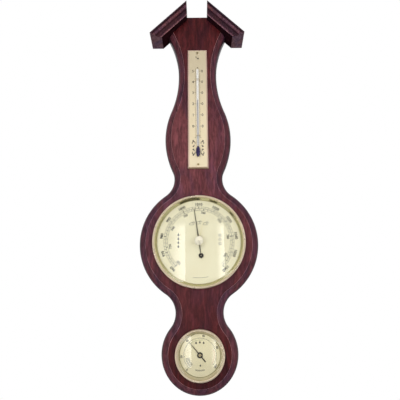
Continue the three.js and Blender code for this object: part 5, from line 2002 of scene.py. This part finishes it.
    def surroundings(self) -> None:
        """White for the eye and for mirrors, dim behind the camera, and a plain soft level for the rest."""
        world = bpy.data.worlds.new("white_studio")
        n = Nodes(world)
        path = n.add("ShaderNodeLightPath").outputs
        towards = n.add("ShaderNodeTexCoord").outputs["Generated"]
        facing = n.add("ShaderNodeVectorMath")
        facing.operation = "DOT_PRODUCT"
        n.join(facing, {0: towards, 1: (0.0, -1.0, 0.0)})
        mirrored = n.ramp(facing.outputs["Value"], -0.1, 0.8, 1.0, self.room)
        seen = n.maths("MAXIMUM", path["Is Camera Ray"], path["Is Transmission Ray"])
        level = n.blend(path["Is Glossy Ray"], self.ambient, mirrored)
        level = n.blend(seen, level, 1.0)
        light = n.add("ShaderNodeBackground", Color=(1.0, 1.0, 1.0), Strength=level)
        n.add("ShaderNodeOutputWorld", Surface=light.outputs[0])
        bpy.context.scene.world = world

    def card(self, name: str, height: float, sides: Pair, depths: Pair, finish: Material) -> Piece:
        """A flat sheet that lies level.

        Args:
            name: its name.
            height: its height.
            sides: x of its left and right edge.
            depths: how far its near and its far edge lie from the wall.
            finish: its material.

        Returns:
            The sheet.
        """
        corners = [self.point(x, depth, height) for x, depth in rectangle(*sides, *depths)]
        mesh = bpy.data.meshes.new(name)
        mesh.from_pydata(corners, [], [(0, 1, 2, 3)])
        mesh.materials.append(finish)
        sheet = bpy.data.objects.new(name, mesh)
        bpy.context.scene.collection.objects.link(sheet)
        return sheet

    def cards(self) -> None:
        """The dark cards a little over the floor, which only bright things mirror."""
        r = Recipe("black_card")
        cloth = r.noise(300.0, 3.0)
        black = r.ramp(cloth, 0.3, 0.7, (0.01, 0.01, 0.01), (0.02, 0.018, 0.015))
        r.surface(Base_Color=black, Roughness=0.9, Normal=r.bump(cloth, 0.1))
        for name, sides, depths in self.flags:
            flag = self.card(name, self.floor + 10.0, sides, depths, r.material)
            flag.visible_camera = flag.visible_diffuse = False
            flag.visible_shadow = flag.visible_transmission = False

    def ground(self) -> None:
        """A plain pale floor well below the piece, lightened for the eye alone."""
        r = Recipe("pale_floor")
        tooth = r.noise(30.0, 4.0)
        lift = r.maths("MULTIPLY", r.add("ShaderNodeLightPath").outputs["Is Camera Ray"], self.floor_lift)
        pale = r.ramp(tooth, 0.3, 0.7, (0.86, 0.86, 0.86), (0.9, 0.9, 0.9))
        r.surface(Base_Color=pale, Roughness=0.9, Normal=r.bump(tooth, 0.05),
                  Emission_Color=(1.0, 1.0, 1.0), Emission_Strength=lift)
        self.card("floor", self.floor, (-2000.0, 2000.0), (-1500.0, 2500.0), r.material)

    def build(self) -> None:
        """Sets up the studio."""
        self.camera()
        self.lamps()
        self.surroundings()
        self.ground()
        self.cards()
        bpy.context.scene.view_settings.view_transform = "Standard"


def main() -> None:
    """Builds and dresses the weather station."""
    logging.basicConfig(level=logging.INFO, format="%(name)s: %(message)s")
    roofs = [Roof(side) for side in Side]
    for assembly in (Studio(), Board(), *roofs, Thermometer(), Barometer(), Hygrometer(), Works()):
        assembly.build()
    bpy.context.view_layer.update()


if __name__ == "__main__":
    main()
